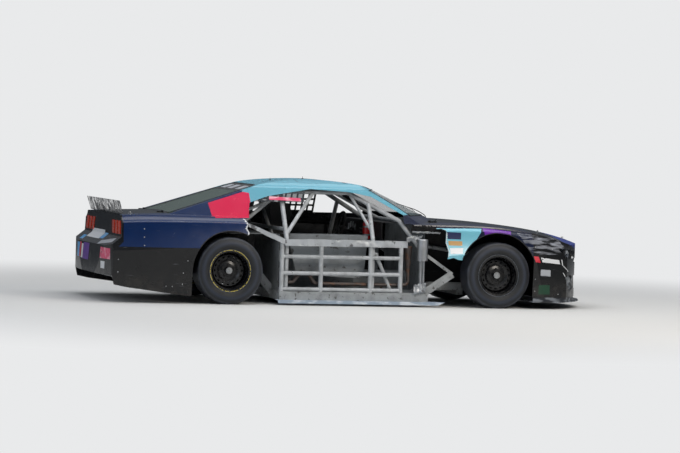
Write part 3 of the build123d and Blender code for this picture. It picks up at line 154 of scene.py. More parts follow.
# Colours laid over a base in turn, each with its mask and its share; a colour mix has its factor
# in socket 0 and its colours in 6 and 7
def laidOver(tree, base, layers):
    colour = linear(base)
    for mask, shade, share in layers:
        if share < 1:
            mask = addNode(tree, "Math", [mask, share], operation="MULTIPLY")
        colour = addNode(tree, "Mix", {0: mask, 6: colour, 7: linear(shade)}, out=2, data_type="RGBA")
    return colour


# Mask: inside a convex outline in side view, in millimetres from the front axle
def inSideView(tree, place, outline):
    corners = [(ahead(x), z * mm) for x, z in outline]
    if sum(a[0] * b[1] - b[0] * a[1] for a, b in zip(corners, corners[1:] + corners[:1])) < 0:
        corners.reverse()
    mask = None
    for (ax, az), (bx, bz) in zip(corners, corners[1:] + corners[:1]):
        length = math.hypot(bx - ax, bz - az)
        inward = ((az - bz) / length, 0.0, (bx - ax) / length)
        along = addNode(tree, "VectorMath", [place, inward], out=1, operation="DOT_PRODUCT")
        inside = addNode(tree, "Math", [along, inward[0] * ax + inward[2] * az], operation="GREATER_THAN")
        mask = addNode(tree, "Math", [mask, inside], operation="MULTIPLY") if mask else inside
    return mask


# Stage: a pale floor that keeps the car's shadow and runs out into an even pale backdrop
stageLook = {
    "backdrop": "#e9eaeb",
    "floor": "#cfcfcd",
    "farFloor": "#3d4044",  # only met by reflections, so that dark panels stay dark
    "radius": 120,  # metres, and so are the next three
    "nearReach": 3.2,  # here the floor starts to turn into the backdrop
    "farReach": 9.0,  # here it has, and starts to darken for reflections
    "darkReach": 17.0,
    "skyTop": "#f4f8ff",
    "skySide": "#646b73",
    "skyRise": (0.12, 0.8),  # shares of the way up, where the side ends and the top starts
    "skyLight": 0.62,
}
studioLamps = {  # place, aim and size in metres, power in watts, colour
    "overhead": ((0.4, -1.2, 6.5), (0, 0, 0.5), (8, 3.5), 250, "#ffffff"),
    "key": ((3.5, -8.0, 5.5), (0, 0, 0.5), (3.5, 2.5), 330, "#fff6ea"),
    "fill": ((-7.0, -5.0, 3.2), (-0.5, 0, 0.6), (4, 3), 60, "#e6f0ff"),
    "behind": ((0, 6.0, 7.5), (0, 0, 0.7), (7, 4), 80, "#ffffff"),
}


def seenDirectly(tree):
    path = addNode(tree, "LightPath").node.outputs
    return addNode(tree, "Math", [path["Is Camera Ray"], path["Is Transmission Ray"]], operation="MAXIMUM")


def makeFloor(look):
    mesh = bpy.data.meshes.new("paleFloor")
    builder = bmesh.new()
    bmesh.ops.create_circle(builder, cap_ends=True, radius=look["radius"], segments=128)
    builder.to_mesh(mesh)
    builder.free()
    floor = addObject("paleFloor", mesh)
    material, tree, place = newMaterial("paleFloor")
    distance = addNode(tree, "VectorMath", [place], out=1, operation="LENGTH")
    reach = [distance, look["nearReach"], look["farReach"]]
    fade = addNode(tree, "MapRange", reach, interpolation_type="SMOOTHSTEP")
    beyond = addNode(tree, "MapRange", [distance, look["farReach"], look["darkReach"]])
    colour = laidOver(tree, look["floor"], [(beyond, look["farFloor"], 1)])
    setShader(tree, {"Base Color": colour, "Roughness": 0.9, "Specular IOR Level": 0.1})
    lit = tree.nodes["Principled BSDF"].outputs[0]
    share = addNode(tree, "Math", [fade, seenDirectly(tree)], operation="MULTIPLY")
    even = addNode(tree, "Emission", {"Color": linear(look["backdrop"]), "Strength": 1.0})
    surface = addNode(tree, "MixShader", [share, lit, even])
    tree.links.new(surface, tree.nodes["Material Output"].inputs[0])
    mesh.materials.append(material)


def makeSky(look):
    world = bpy.data.worlds.new("softStudio")
    bpy.context.scene.world = world
    world.use_nodes = True
    tree = world.node_tree
    height = addNode(tree, "SeparateXYZ", [addNode(tree, "TexCoord")], out=2)
    up = addNode(tree, "MapRange", [height, *look["skyRise"]])
    shades = {0: up, 6: linear(look["skySide"]), 7: linear(look["skyTop"])}
    sky = addNode(tree, "Mix", shades, out=2, data_type="RGBA")
    soft = addNode(tree, "Background", {"Color": sky, "Strength": look["skyLight"]})
    plain = addNode(tree, "Background", {"Color": linear(look["backdrop"]), "Strength": 1.0})
    surface = addNode(tree, "MixShader", [seenDirectly(tree), soft, plain])
    tree.links.new(surface, tree.nodes["World Output"].inputs[0])


def addLamp(name, place, aim, size, power, colour):
    data = bpy.data.lights.new(name, "AREA")
    data.shape = "RECTANGLE"
    data.size, data.size_y = size
    data.energy = power
    data.color = linear(colour)[:3]
    lamp = addObject(name, data)
    lamp.location = place
    lamp.rotation_euler = (Vector(aim) - Vector(place)).to_track_quat("-Z", "Y").to_euler()


makeFloor(stageLook)
makeSky(stageLook)
for name, lamp in studioLamps.items():
    addLamp(name, *lamp)
print("camera, floor and lamps ready")

# Vinyl wrap over sheet steel: cast film laid over the skin, so a soft gloss with a faint orange peel,
# small scuffs and a little road film low down, and a pale patch on the front flank that is partly scuffs
# and partly a painted highlight
wrapLook = {
    "turquoise": "#62a4b8",
    "lightBlue": "#74b9cb",
    "navy": "#06234f",
    "deepNavy": "#0c1530",
    "black": "#07080b",
    "pinkRed": "#cf1247",
    # inner sides of the panels, near black: painted shade of the car's inside
    "innerSideShade": "#17181b",
    "metalBlue": "#23358c",
    "purple": "#6a2b9c",
    "roadFilm": "#6f6a62",
    # pale grey of the scratches, and of the patch ahead of the front arch, where it is partly a painted
    # highlight
    "scuffAndHighlight": "#93969e",
    "roughness": 0.16,
    "duller": 0.14,  # how much rougher the dull blotches are
    "peel": 7.0,  # mm between the film's ripples, and mm to the end of this table
    "streakSize": 60,
    "dustSize": 90,
    "blotchSize": 120,
    "dustTop": 340,  # up from the ground; road film thickens from here to the next
    "dustFull": 60,
    "bandHalf": 430,  # half the width of the band over the windscreen
    "split": 545,  # up from the ground, navy above it and black below
    "middleUp": 600,  # height of the line along the car that inner faces look at
}
# Outlines of the colours in side view
wrapOutlines = {
    "sail": [(-2560, 1095), (-2500, 1085), (-2480, 846), (-2890, 838), (-2922, 980)],
    "fenderPatch": [(-640, 784), (-176, 790), (-372, 480), (-640, 420)],
    "archStripe": [(-170, 798), (128, 768), (110, 700), (-158, 724)],
    "roofFrontBand": [(-1500, 1300), (-1150, 1300), (-1150, 1138), (-1500, 1182)],
    "pillarFoot": [(-1010, 908), (-900, 908), (-560, 960), (-500, 700), (-1010, 700)],
    "frontBlue": [(545, 860), (1040, 860), (1040, 560), (985, 575), (700, 672)],
    # patch ahead of the front arch: partly scuffs, partly a painted highlight of the sky on the gloss
    "scuffedHighlightSide": [(190, 758), (630, 706), (720, 600), (640, 548), (330, 542)],
}


def vinylWrap(name, base, regions=(), scuffedAndLit=(), look=wrapLook):
    material, tree, place = newMaterial(name)
    parts = addNode(tree, "SeparateXYZ", [place]).node.outputs
    layers = []
    for region, shade in regions:
        if region == "belowSplit":
            mask = addNode(tree, "Math", [parts["Z"], look["split"] * mm], operation="LESS_THAN")
        else:
            mask = inSideView(tree, place, wrapOutlines[region])
        if region == "roofFrontBand":
            across = addNode(tree, "Math", [parts["Y"]], operation="ABSOLUTE")
            inside = addNode(tree, "Math", [across, look["bandHalf"] * mm], operation="LESS_THAN")
            mask = addNode(tree, "Math", [mask, inside], operation="MULTIPLY")
        layers.append((mask, look[shade], 1))
    # The patch ahead of the front arch is lightened: partly scuffs, partly a painted highlight
    for region in scuffedAndLit:
        streakMask = grain(tree, place, look["streakSize"], 6, (0.35, 1, 2.4), 0.44, 0.6)
        inside = inSideView(tree, place, wrapOutlines[region])
        mask = addNode(tree, "Math", [inside, streakMask], operation="MULTIPLY")
        layers.append((mask, look["scuffAndHighlight"], 0.8))
    scratches = grain(tree, place, look["streakSize"], 6, (0.25, 1, 3.5), 0.68, 0.72)
    low = addNode(tree, "MapRange", [parts["Z"], look["dustTop"] * mm, look["dustFull"] * mm])
    cloud = grain(tree, place, look["dustSize"], 5, low=0.35, high=0.8)
    dust = addNode(tree, "Math", [low, cloud], operation="MULTIPLY")
    # A face that looks at the line along the car's middle is a panel's inner side: it has no wrap, and its
    # near black is painted shade of the car's inside
    outward = addNode(tree, "VectorMath", [place, (0, 0, -look["middleUp"] * mm)])
    outward = addNode(tree, "VectorMath", [outward, (0, 1, 1)], operation="MULTIPLY")
    normal = addNode(tree, "NewGeometry", out=1)
    facing = addNode(tree, "VectorMath", [outward, normal], out=1, operation="DOT_PRODUCT")
    inner = addNode(tree, "Math", [facing, -0.02], operation="LESS_THAN")
    layers.append((scratches, look["scuffAndHighlight"], 0.25))
    layers.append((dust, look["roadFilm"], 0.3))
    layers.append((inner, look["innerSideShade"], 1))
    gloss = look["roughness"]
    blotch = grain(tree, place, look["blotchSize"])
    rough = addNode(tree, "MapRange", [blotch, *cloudSpan, gloss, gloss + look["duller"]])
    ripple = {"Height": grain(tree, place, look["peel"], 1), "Distance": 0.0001, "Strength": 0.1}
    setShader(tree, {
        "Base Color": laidOver(tree, look[base], layers),
        "Roughness": addNode(tree, "Math", [dust, 0.3, rough], operation="MULTIPLY_ADD"),
        "IOR": 1.48,
        "Normal": addNode(tree, "Bump", ripple),
    })
    return material


roofRegions = [("roofFrontBand", "deepNavy"), ("sail", "pinkRed"), ("pillarFoot", "deepNavy")]
fenderRegions = [("fenderPatch", "lightBlue"), ("archStripe", "purple"), ("frontBlue", "metalBlue")]
wraps = {
    "roof": vinylWrap("vinylWrapTurquoise", "turquoise", roofRegions),
    "quarter": vinylWrap("vinylWrapNavy", "navy", [("belowSplit", "black"), ("sail", "pinkRed")]),
    "fender": vinylWrap("vinylWrapFender", "deepNavy", fenderRegions, ["scuffedHighlightSide"]),
    "front": vinylWrap("vinylWrapFront", "black", [("frontBlue", "metalBlue")], ["scuffedHighlightSide"]),
    "black": vinylWrap("vinylWrapBlack", "black"),
}


# Hard-coated polycarbonate sheet: clear with a tint of its own and a fine haze from wiping; the back
# sheet's grey-green, nearly opaque, is a painted reflection of the surroundings
sheetLooks = {
    "clearScreenSheet": {"tint": "#5f7072", "alpha": 0.32, "haze": 0.12},
    # grey-green and nearly opaque: a painted reflection of the surroundings
    "greyGreenBackSheet": {"tint": "#56655a", "alpha": 0.86, "haze": 0.3},
    "smokedPaneSheet": {"tint": "#3a3f44", "alpha": 0.5, "haze": 0.12},
}
wipeSize = 60  # mm across one wiped streak


def polycarbonate(name, look):
    material, tree, place = newMaterial(name)
    haze = grain(tree, place, wipeSize, 5, (1, 1, 3))
    setShader(tree, {
        "Base Color": linear(look["tint"]),
        "Roughness": addNode(tree, "MapRange", [haze, *cloudSpan, 0.04, look["haze"]]),
        "IOR": 1.58,
        "Alpha": look["alpha"],
    })
    return material


panes = {name: polycarbonate(name, look) for name, look in sheetLooks.items()}


# Distance from the nearest hub's centre in side view, and whether the wheel is a front one
def fromHub(tree, place):
    parts = addNode(tree, "SeparateXYZ", [place]).node.outputs
    isFront = addNode(tree, "Math", [parts["X"], 0.0], operation="GREATER_THAN")
    hub = addNode(tree, "MapRange", [isFront, 0.0, 1.0, rearAxle, frontAxle])
    along = addNode(tree, "Math", [parts["X"], hub], operation="SUBTRACT")
    up = addNode(tree, "Math", [parts["Z"], axleHeight], operation="SUBTRACT")
    flat = addNode(tree, "CombineXYZ", [along, up, 0.0])
    return addNode(tree, "VectorMath", [flat], out=1, operation="LENGTH"), isFront


# Slick racing rubber: moulded soft black, scrubbed blue-grey over the tread, and a blue-grey ring beside it
# that is a painted sheen of sky light
tyreLook = {
    "rubber": "#121519",
    "scrubbed": "#474c57",
    # blue-grey of the ring beside the tread: a painted sheen of sky light
    "haze": "#2c3444",
    "blotch": 80,  # mm
    "pore": 3,  # mm
    "ridge": 8.0,  # mm between the moulded rings beside the rim
    "tread": (0.300, 0.318),  # metres from the hub where each starts and is full
    "sheenRingInside": (0.240, 0.268),
    "sheenRingOutside": (0.300, 0.270),
    "ridges": (0.262, 0.238),
}


def slickRubber(look):
    material, tree, place = newMaterial("mouldedSlickRubber")
    radius = fromHub(tree, place)[0]
    blotch = grain(tree, place, look["blotch"], low=0.25, high=0.75)
    tread, inside, outside, nearRim = [
        addNode(tree, "MapRange", [radius, *look[span]])
        for span in ("tread", "sheenRingInside", "sheenRingOutside", "ridges")
    ]
    scrubbed = addNode(tree, "Math", [tread, blotch], operation="MULTIPLY")
    # The ring beside the tread gets a painted sheen
    band = addNode(tree, "Math", [inside, outside], operation="MULTIPLY")
    turns = addNode(tree, "Math", [radius, 2 * math.pi / (look["ridge"] * mm)], operation="MULTIPLY")
    rings = addNode(tree, "Math", [turns], operation="SINE")
    pores = grain(tree, place, look["pore"], 3)
    height = addNode(tree, "Math", [rings, nearRim, pores], operation="MULTIPLY_ADD")
    layers = [(band, look["haze"], 0.75), (scrubbed, look["scrubbed"], 0.8)]
    setShader(tree, {
        "Base Color": laidOver(tree, look["rubber"], layers),
        "Roughness": addNode(tree, "MapRange", [blotch, 0.0, 1.0, 0.42, 0.62]),
        "IOR": 1.52,
        "Normal": addNode(tree, "Bump", {"Height": height, "Distance": 0.0009, "Strength": 0.6}),
    })
    return material


# Pressed steel wheels in black stove enamel: semi-gloss, with a painted highlight as a pale ring round the
# lip, the rear ones with a pale yellow line round it
wheelLook = {
    "enamel": "#0c0d10",
    "brakeDust": "#35322f",
    "lipLine": "#cdb84a",
    "lineFrom": 0.955,  # shares of the rim's radius
    "lineTo": 0.982,
    # pale grey ring at the outer lip: a painted highlight
    "lipHighlight": "#8e96a1",
    "highlightFrom": 0.986,
    "chip": 16,  # mm, like the next two
    "dust": 45,
    "bump": 5,
}


def stoveEnamel(look):
    material, tree, place = newMaterial("blackStoveEnamel")
    radius, isFront = fromHub(tree, place)
    fromLine = addNode(tree, "Math", [radius, look["lineFrom"] * rimReach], operation="GREATER_THAN")
    toLine = addNode(tree, "Math", [radius, look["lineTo"] * rimReach], operation="LESS_THAN")
    line = addNode(tree, "Math", [fromLine, toLine], operation="MULTIPLY")
    isRear = addNode(tree, "Math", [1.0, isFront], operation="SUBTRACT")
    line = addNode(tree, "Math", [line, isRear], operation="MULTIPLY")
    worn = grain(tree, place, look["chip"], 6, low=0.42, high=0.5)
    line = addNode(tree, "Math", [line, worn], operation="MULTIPLY")
    dust = grain(tree, place, look["dust"], low=0.5, high=0.8)
    # Painted highlight round the outer lip
    lip = addNode(tree, "Math", [radius, look["highlightFrom"] * rimReach], operation="GREATER_THAN")
    layers = [(dust, look["brakeDust"], 0.5), (line, look["lipLine"], 1), (lip, look["lipHighlight"], 0.6)]
    uneven = grain(tree, place, look["bump"], 2)
    setShader(tree, {
        "Base Color": laidOver(tree, look["enamel"], layers),
        "Roughness": addNode(tree, "MapRange", [dust, 0.0, 1.0, 0.26, 0.5]),
        "IOR": 1.5,
        "Normal": addNode(tree, "Bump", {"Height": uneven, "Distance": 0.0002, "Strength": 0.4}),
    })
    return material


# Metals, painted or bare, that have been knocked about: chips to another colour, grime in the hollows, dents.
# Base, chip and grime colours, metallic and roughness; then, unless they are the usual ones, size of a chip
# in mm, where in the noise chips start, and how deep the dents go in mm
metalLooks = {
    "greyCagePaint": ("#b2b6b9", "#55534f", "#3a3835", 0.0, 0.42, 34, 0.66, 0.6),  # sprayed tube, half gloss
    "paleRailPaint": ("#9da1a3", "#4b4947", "#2a2826", 0.0, 0.5, 34, 0.6, 1.5),  # sprayed, duller
    "crumpledAluminium": ("#c3c8cd", "#5b5b5f", "#3b3a39", 0.75, 0.38, 70, 0.6, 4.0),  # rolled, bright folds
    "greyTinPaint": ("#7d8285", "#3d3b38", "#23211f", 0.0, 0.58, 60, 0.62, 3.0),  # sprayed sheet, nearly matt
    "blackChassisPaint": ("#141518", "#43362d", "#2d2a27", 0.0, 0.48),  # baked powder, a low sheen
    "castIron": ("#242528", "#3a3029", "#191818", 0.3, 0.62),  # cast in sand, dark and dull
    "heatStainedSteel": ("#544d4a", "#6b5143", "#26211e", 0.6, 0.46, 50, 0.52, 0.8),  # drawn tube, browned
    "brushedSteel": ("#b9bcc0", "#6a5142", "#2b2a2a", 0.9, 0.34, 70, 0.6, 1.5),  # bright, with soft edges
    "darkDashPaint": ("#17181c", "#33343a", "#101011", 0.0, 0.55),  # sprayed sheet, without glare
    "zincPlate": ("#b4b7b9", "#77746c", "#4a4845", 1.0, 0.35, 9, 0.6, 0.1),  # small bright points
    "springSteelPaint": ("#a8342a", "#4a2a24", "#2e2422", 0.0, 0.42),  # coiled wire in red powder
}
metalGrain = {"fine": 8, "dent": 130, "hollow": 2.4}  # mm, mm, and times a chip


def wornMetal(name, base, chip, grime, metallic, rough, chipSize=40, chipFrom=0.66, dents=0.5):
    material, tree, place = newMaterial(name)
    chips = grain(tree, place, chipSize, 6, low=chipFrom, high=chipFrom + 0.06)
    hollows = grain(tree, place, chipSize * metalGrain["hollow"], 5, low=0.42, high=0.78)
    fine = grain(tree, place, metalGrain["fine"], 4)
    broad = grain(tree, place, metalGrain["dent"], 2)
    height = addNode(tree, "Math", [broad, 3 * dents, fine], operation="MULTIPLY_ADD")
    setShader(tree, {
        "Base Color": laidOver(tree, base, [(chips, chip, 0.85), (hollows, grime, 0.45)]),
        "Roughness": addNode(tree, "MapRange", [fine, *cloudSpan, rough - 0.1, rough + 0.16]),
        "Metallic": metallic,
        "Normal": addNode(tree, "Bump", {"Height": height, "Distance": 0.0015, "Strength": 0.5}),
    })
    return material


metals = {name: wornMetal(name, *look) for name, look in metalLooks.items()}

# Moulded plastics, boards and printed films: one colour with a light grain, rubbed to another where it drags.
# Base and rubbed colours, roughness, where in the noise the rubbing starts
plasticLooks = {
    "scuffedSplitterBoard": ("#1b1f27", "#8b9198", 0.5, 0.48),
    "paleSkirtSheet": ("#93a3b4", "#dde4ea", 0.45, 0.5),
    "blackSeatShell": ("#121317", "#24262d", 0.5, 0.6),
    "fuelCellShell": ("#101113", "#29292b", 0.6, 0.6),
    "suedeGrip": ("#171719", "#2b2a2a", 0.85, 0.6),
    "blackRubberTrim": ("#101012", "#26262a", 0.6, 0.6),
    "tornFibreglass": ("#d3d6d8", "#8b8c8c", 0.8, 0.55),
    "redBottlePaint": ("#b51f1f", "#7d1818", 0.3, 0.62),
    "whiteFilm": ("#dfe1e4", "#a9acb0", 0.35, 0.6),
    "greyFilm": ("#a9adb3", "#71757c", 0.35, 0.55),
    "navyFilm": ("#14224c", "#3a4361", 0.35, 0.62),
    "skyFilm": ("#4f9fd8", "#a8cfe8", 0.35, 0.55),
    "tanFilm": ("#b98f55", "#e6dcc8", 0.35, 0.6),
    "redFilm": ("#c92438", "#8c1c2a", 0.35, 0.62),
    "pinkFilm": ("#d8446c", "#e9b9c6", 0.35, 0.5),
    "purpleFilm": ("#5a2a8f", "#8c67b5", 0.35, 0.6),
    "greenFilm": ("#17412c", "#2f5c46", 0.35, 0.62),
}
plasticGrain = {"rub": 70, "skin": 2.5}  # mm


def mouldedPlastic(name, base, rub, rough, rubFrom):
    material, tree, place = newMaterial(name)
    streakMask = grain(tree, place, plasticGrain["rub"], 6, (0.5, 1, 1.5), rubFrom, rubFrom + 0.12)
    skinGrain = grain(tree, place, plasticGrain["skin"], 2)
    setShader(tree, {
        "Base Color": laidOver(tree, base, [(streakMask, rub, 0.8)]),
        "Roughness": rough,
        "IOR": 1.5,
        "Normal": addNode(tree, "Bump", {"Height": skinGrain, "Distance": 0.0001, "Strength": 0.5}),
    })
    return material


plastics = {name: mouldedPlastic(name, *look) for name, look in plasticLooks.items()}

# Cast acrylic lamp covers: deep clear colour over moulded ribs
acrylicLooks = {
    "orangeRedAcrylic": {"base": "#e0401c", "rough": 0.12, "rib": 6, "alpha": 1.0},  # rib in mm
    "smokedAcrylic": {"base": "#20242b", "rough": 0.06, "rib": 400, "alpha": 0.25},
}


def castAcrylic(name, look):
    material, tree, place = newMaterial(name)
    height = addNode(tree, "SeparateXYZ", [place], out=2)
    turns = addNode(tree, "Math", [height, 2 * math.pi / (look["rib"] * mm)], operation="MULTIPLY")
    ribs = addNode(tree, "Math", [turns], operation="SINE")
    setShader(tree, {
        "Base Color": linear(look["base"]),
        "Roughness": look["rough"],
        "IOR": 1.49,
        "Alpha": look["alpha"],
        "Coat Weight": 0.6,
        "Coat Roughness": 0.05,
        "Normal": addNode(tree, "Bump", {"Height": ribs, "Distance": 0.0004, "Strength": 0.3}),
    })
    return material


acrylics = {name: castAcrylic(name, look) for name, look in acrylicLooks.items()}


# Aluminised reflector: bright evaporated metal on a smooth moulding, with a little haze
reflectorLook = {"metal": "#d9dde2", "haze": 20, "rough": (0.06, 0.2)}  # haze in mm


def aluminisedReflector(look):
    material, tree, place = newMaterial("aluminisedReflector")
    haze = grain(tree, place, look["haze"], 3)
    setShader(tree, {
        "Base Color": linear(look["metal"]),
        "Metallic": 1.0,
        "Roughness": addNode(tree, "MapRange", [haze, *cloudSpan, *look["rough"]]),
    })
    return material


# Woven polyester webbing: flat ribs across the strap
webbingLooks = {"blackWebbing": "#121214", "redWebbing": "#8f1f24"}
webbingWear = {"rib": 4, "faded": 60, "fadedTo": "#3a3a3e"}  # mm, mm, colour


def wovenWebbing(name, base):
    material, tree, place = newMaterial(name)
    parts = addNode(tree, "SeparateXYZ", [place]).node.outputs
    along = addNode(tree, "Math", [parts["X"], parts["Z"]])
    turns = addNode(tree, "Math", [along, 2 * math.pi / (webbingWear["rib"] * mm)], operation="MULTIPLY")
    ribs = addNode(tree, "Math", [turns], operation="SINE")
    faded = grain(tree, place, webbingWear["faded"], low=0.5, high=0.9)
    setShader(tree, {
        "Base Color": laidOver(tree, base, [(faded, webbingWear["fadedTo"], 0.4)]),
        "Roughness": 0.85,
        "Sheen Weight": 0.2,
        "Normal": addNode(tree, "Bump", {"Height": ribs, "Distance": 0.0004, "Strength": 0.5}),
    })
    return material


# Clear polycarbonate blade: black strokes run up and down it, some with a silver edge
spoilerLook = {
    "blackStroke": "#0d0e11",
    "silver": "#9a9da1",
    "stroke": 52,  # mm across one stroke
    "finer": 2.4,  # times narrower, the strokes that are laid over them
    "blackStrokeFrom": (0.96, 1.06),  # where two noises together turn from bare to black
    "silverFrom": (0.56, 0.62),
}


def streakedSheet(look):
    material, tree, place = newMaterial("streakedClearSheet")
    broad = grain(tree, place, look["stroke"], 5, (1, 1.6, 0.45))
    fine = grain(tree, place, look["stroke"] / look["finer"], 4, (1, 1.8, 0.3))
    mixed = addNode(tree, "Math", [broad, fine])
    blackStroke = addNode(tree, "MapRange", [mixed, *look["blackStrokeFrom"]])
    silver = addNode(tree, "MapRange", [fine, *look["silverFrom"]])
    setShader(tree, {
        "Base Color": laidOver(tree, look["blackStroke"], [(silver, look["silver"], 0.9)]),
        "Roughness": 0.3,
        "IOR": 1.58,
        "Alpha": addNode(tree, "MapRange", [blackStroke, 0.0, 1.0, 0.18, 1.0]),
    })
    return material


reflector = aluminisedReflector(reflectorLook)
webbings = {name: wovenWebbing(name, base) for name, base in webbingLooks.items()}
finishes = [
    (wraps["roof"], ["roof"]),
    (wraps["quarter"], ["quarter_left", "quarter_right"]),
    (wraps["fender"], ["fender_left", "fender_right"]),
    (wraps["front"], ["hood", "nose"]),
    (wraps["black"], ["rear_bumper", "filler_panel", "deck_lid", "cowl", "door_left"]),
    (acrylics["smokedAcrylic"], ["headlights"]),
    (panes["clearScreenSheet"], ["windshield"]),
    (panes["greyGreenBackSheet"], ["rear_window"]),
    (panes["smokedPaneSheet"], ["quarter_windows"]),
    (metals["paleRailPaint"], ["frame"]),
    (metals["greyCagePaint"], ["main_hoop", "halo", "door_bars"]),
    (metals["crumpledAluminium"], ["sill_beam"]),
    (metals["greyTinPaint"], ["floor_pan", "tins"]),
    (metals["castIron"], ["engine"]),
    (metals["blackChassisPaint"], ["rear_axle", "suspension", "steering_link"]),
    (metals["blackChassisPaint"], ["knuckle_left", "knuckle_right"]),
    (metals["darkDashPaint"], ["dashboard"]),
    (metals["heatStainedSteel"], ["exhaust"]),
    (metals["brushedSteel"], ["oil_tank"]),
    (plastics["fuelCellShell"], ["fuel_cell"]),
    (plastics["blackSeatShell"], ["seat"]),
    (plastics["suedeGrip"], ["steering_wheel"]),
    (plastics["scuffedSplitterBoard"], ["splitter"]),
    (plastics["paleSkirtSheet"], ["side_skirts"]),
    (streakedSheet(spoilerLook), ["spoiler"]),
    (webbings["blackWebbing"], ["window_net"]),
]
# Each wheel: where its axle is, and which way is outwards
wheels = {
    "front_left": (frontAxle, 1),
    "front_right": (frontAxle, -1),
    "rear_left": (rearAxle, 1),
    "rear_right": (rearAxle, -1),
}
finishes.append((stoveEnamel(wheelLook), [f"wheel_{corner}" for corner in wheels]))
finishes.append((slickRubber(tyreLook), [f"tyre_{corner}" for corner in wheels]))
for material, names in finishes:
    for name in names:
        slots = nodes[name].data.materials
        slots.clear()
        slots.append(material)
print("finishes set on", sum(len(names) for material, names in finishes), "CAD nodes")


# The skin that new pieces are laid on, as a tree to cast rays at
def skinOf(*names):
    points, faces = [], []
    for name in names:
        first = len(points)
        obj = nodes[name]
        points += [obj.matrix_world @ v.co for v in obj.data.vertices]
        faces += [[first + i for i in face.vertices] for face in obj.data.polygons]
    return BVHTree.FromPolygons(points, faces)


# Where a ray meets the skin, and the skin's direction there towards the ray's start
def touch(skin, start, heading):
    spot, normal = skin.ray_cast(Vector(start), Vector(heading).normalized())[:2]
    if spot and normal.dot(Vector(heading)) > 0:
        normal = -normal
    return spot, normal


down = (0, 0, -1)
clearSide, clearUp = 1.2, 1.5  # metres from the middle and the ground, where rays at the skin start
# Views that rays are cast in: the start that two measures in mm give, and the way the ray goes
views = {
    "right": (lambda x, z: (ahead(x), -clearSide, z * mm), (0, 1, 0)),
    "left": (lambda x, z: (ahead(x), clearSide, z * mm), (0, -1, 0)),
    "behind": (lambda y, z: (rearAxle - 1.6, y * mm, z * mm), (1, 0, 0)),
    "above": (lambda x, y: (ahead(x), y * mm, clearUp), down),
    "screen": (lambda y, z: (ahead(200), y * mm, z * mm), (-1, 0, 0)),
    "dash": (lambda y, z: (ahead(-1300), y * mm, z * mm), (1, 0, 0)),
    "seat": (lambda y, z: (ahead(-1500), y * mm, z * mm), (-1, 0, 0)),
}


def touchIn(view, skin, first, second):
    start, heading = views[view]
    return touch(skin, start(first, second), heading)


# Makes the builder's mesh a piece that rides on its body
def newPiece(name, builder, material, body="chassis", sharp=35):
    if not builder.verts:
        print("nothing to build for", name)
        builder.free()
        return None
    bmesh.ops.recalc_face_normals(builder, faces=builder.faces)
    mesh = bpy.data.meshes.new(name)
    builder.to_mesh(mesh)
    builder.free()
    mesh.materials.append(material)
    mesh.shade_smooth()
    mesh.set_sharp_from_angle(angle=math.radians(sharp))
    obj = addObject(name, mesh)
    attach(obj, body)
    return obj


# Joins rings of equal length with faces, and closes both ends
def joinRings(builder, rings, closed=False):
    count = len(rings[0])
    pairs = list(zip(rings, rings[1:])) + ([(rings[-1], rings[0])] if closed else [])
    for low, high in pairs:
        for k in range(count):
            builder.faces.new((low[k], low[(k + 1) % count], high[(k + 1) % count], high[k]))
    if not closed:
        builder.faces.new(rings[0][::-1])
        builder.faces.new(rings[-1])


# Points eased into a curve that passes through them all
def eased(points, steps):
    points = [Vector(p) for p in points]
    padded = [points[0] * 2 - points[1], *points, points[-1] * 2 - points[-2]]
    curve = []
    for a, b, c, d in zip(padded, padded[1:], padded[2:], padded[3:]):
        for t in (step / steps for step in range(steps)):
            bend = (2 * a - 5 * b + 4 * c - d) * t**2 + (3 * b - a - 3 * c + d) * t**3
            curve.append(0.5 * (2 * b + (c - a) * t + bend))
    return curve + [points[-1]]


# A bar along its points: width and depth are half sizes in millimetres, equal for a round one
def addBar(builder, points, width, depth=None, sides=10, closed=False, facing=None):
    points = [Vector(p) for p in points]
    depth = depth or width
    rings, count = [], len(points)
    angles = [math.pi * (2 * k + 1) / sides for k in range(sides)]
    across = Vector(facing) if facing else None
    for i, point in enumerate(points):
        before = points[i - 1] if closed or i else point
        after = points[(i + 1) % count] if closed or i + 1 < count else point
        along = (after - before).normalized()
        across = across or along.orthogonal()
        across = (across - along * across.dot(along)).normalized()
        other = along.cross(across)
        ring = [across * width * math.cos(a) + other * depth * math.sin(a) for a in angles]
        rings.append([builder.verts.new(point + spot * mm) for spot in ring])
        if facing:
            across = Vector(facing)
    joinRings(builder, rings, closed)


# A turned piece: (radius, height) pairs in millimetres round an axis
def addTurned(builder, profile, foot, axis, sides=20):
    axis = Vector(axis).normalized()
    across = axis.orthogonal().normalized()
    other = axis.cross(across)
    angles = [2 * math.pi * k / sides for k in range(sides)]
    rings = []
    for radius, high in profile:
        ring = [axis * high + radius * (across * math.cos(a) + other * math.sin(a)) for a in angles]
        rings.append([builder.verts.new(Vector(foot) + spot * mm) for spot in ring])
    joinRings(builder, rings)


plateSunk = 0.4  # mm that the back of a laid plate lies in the skin


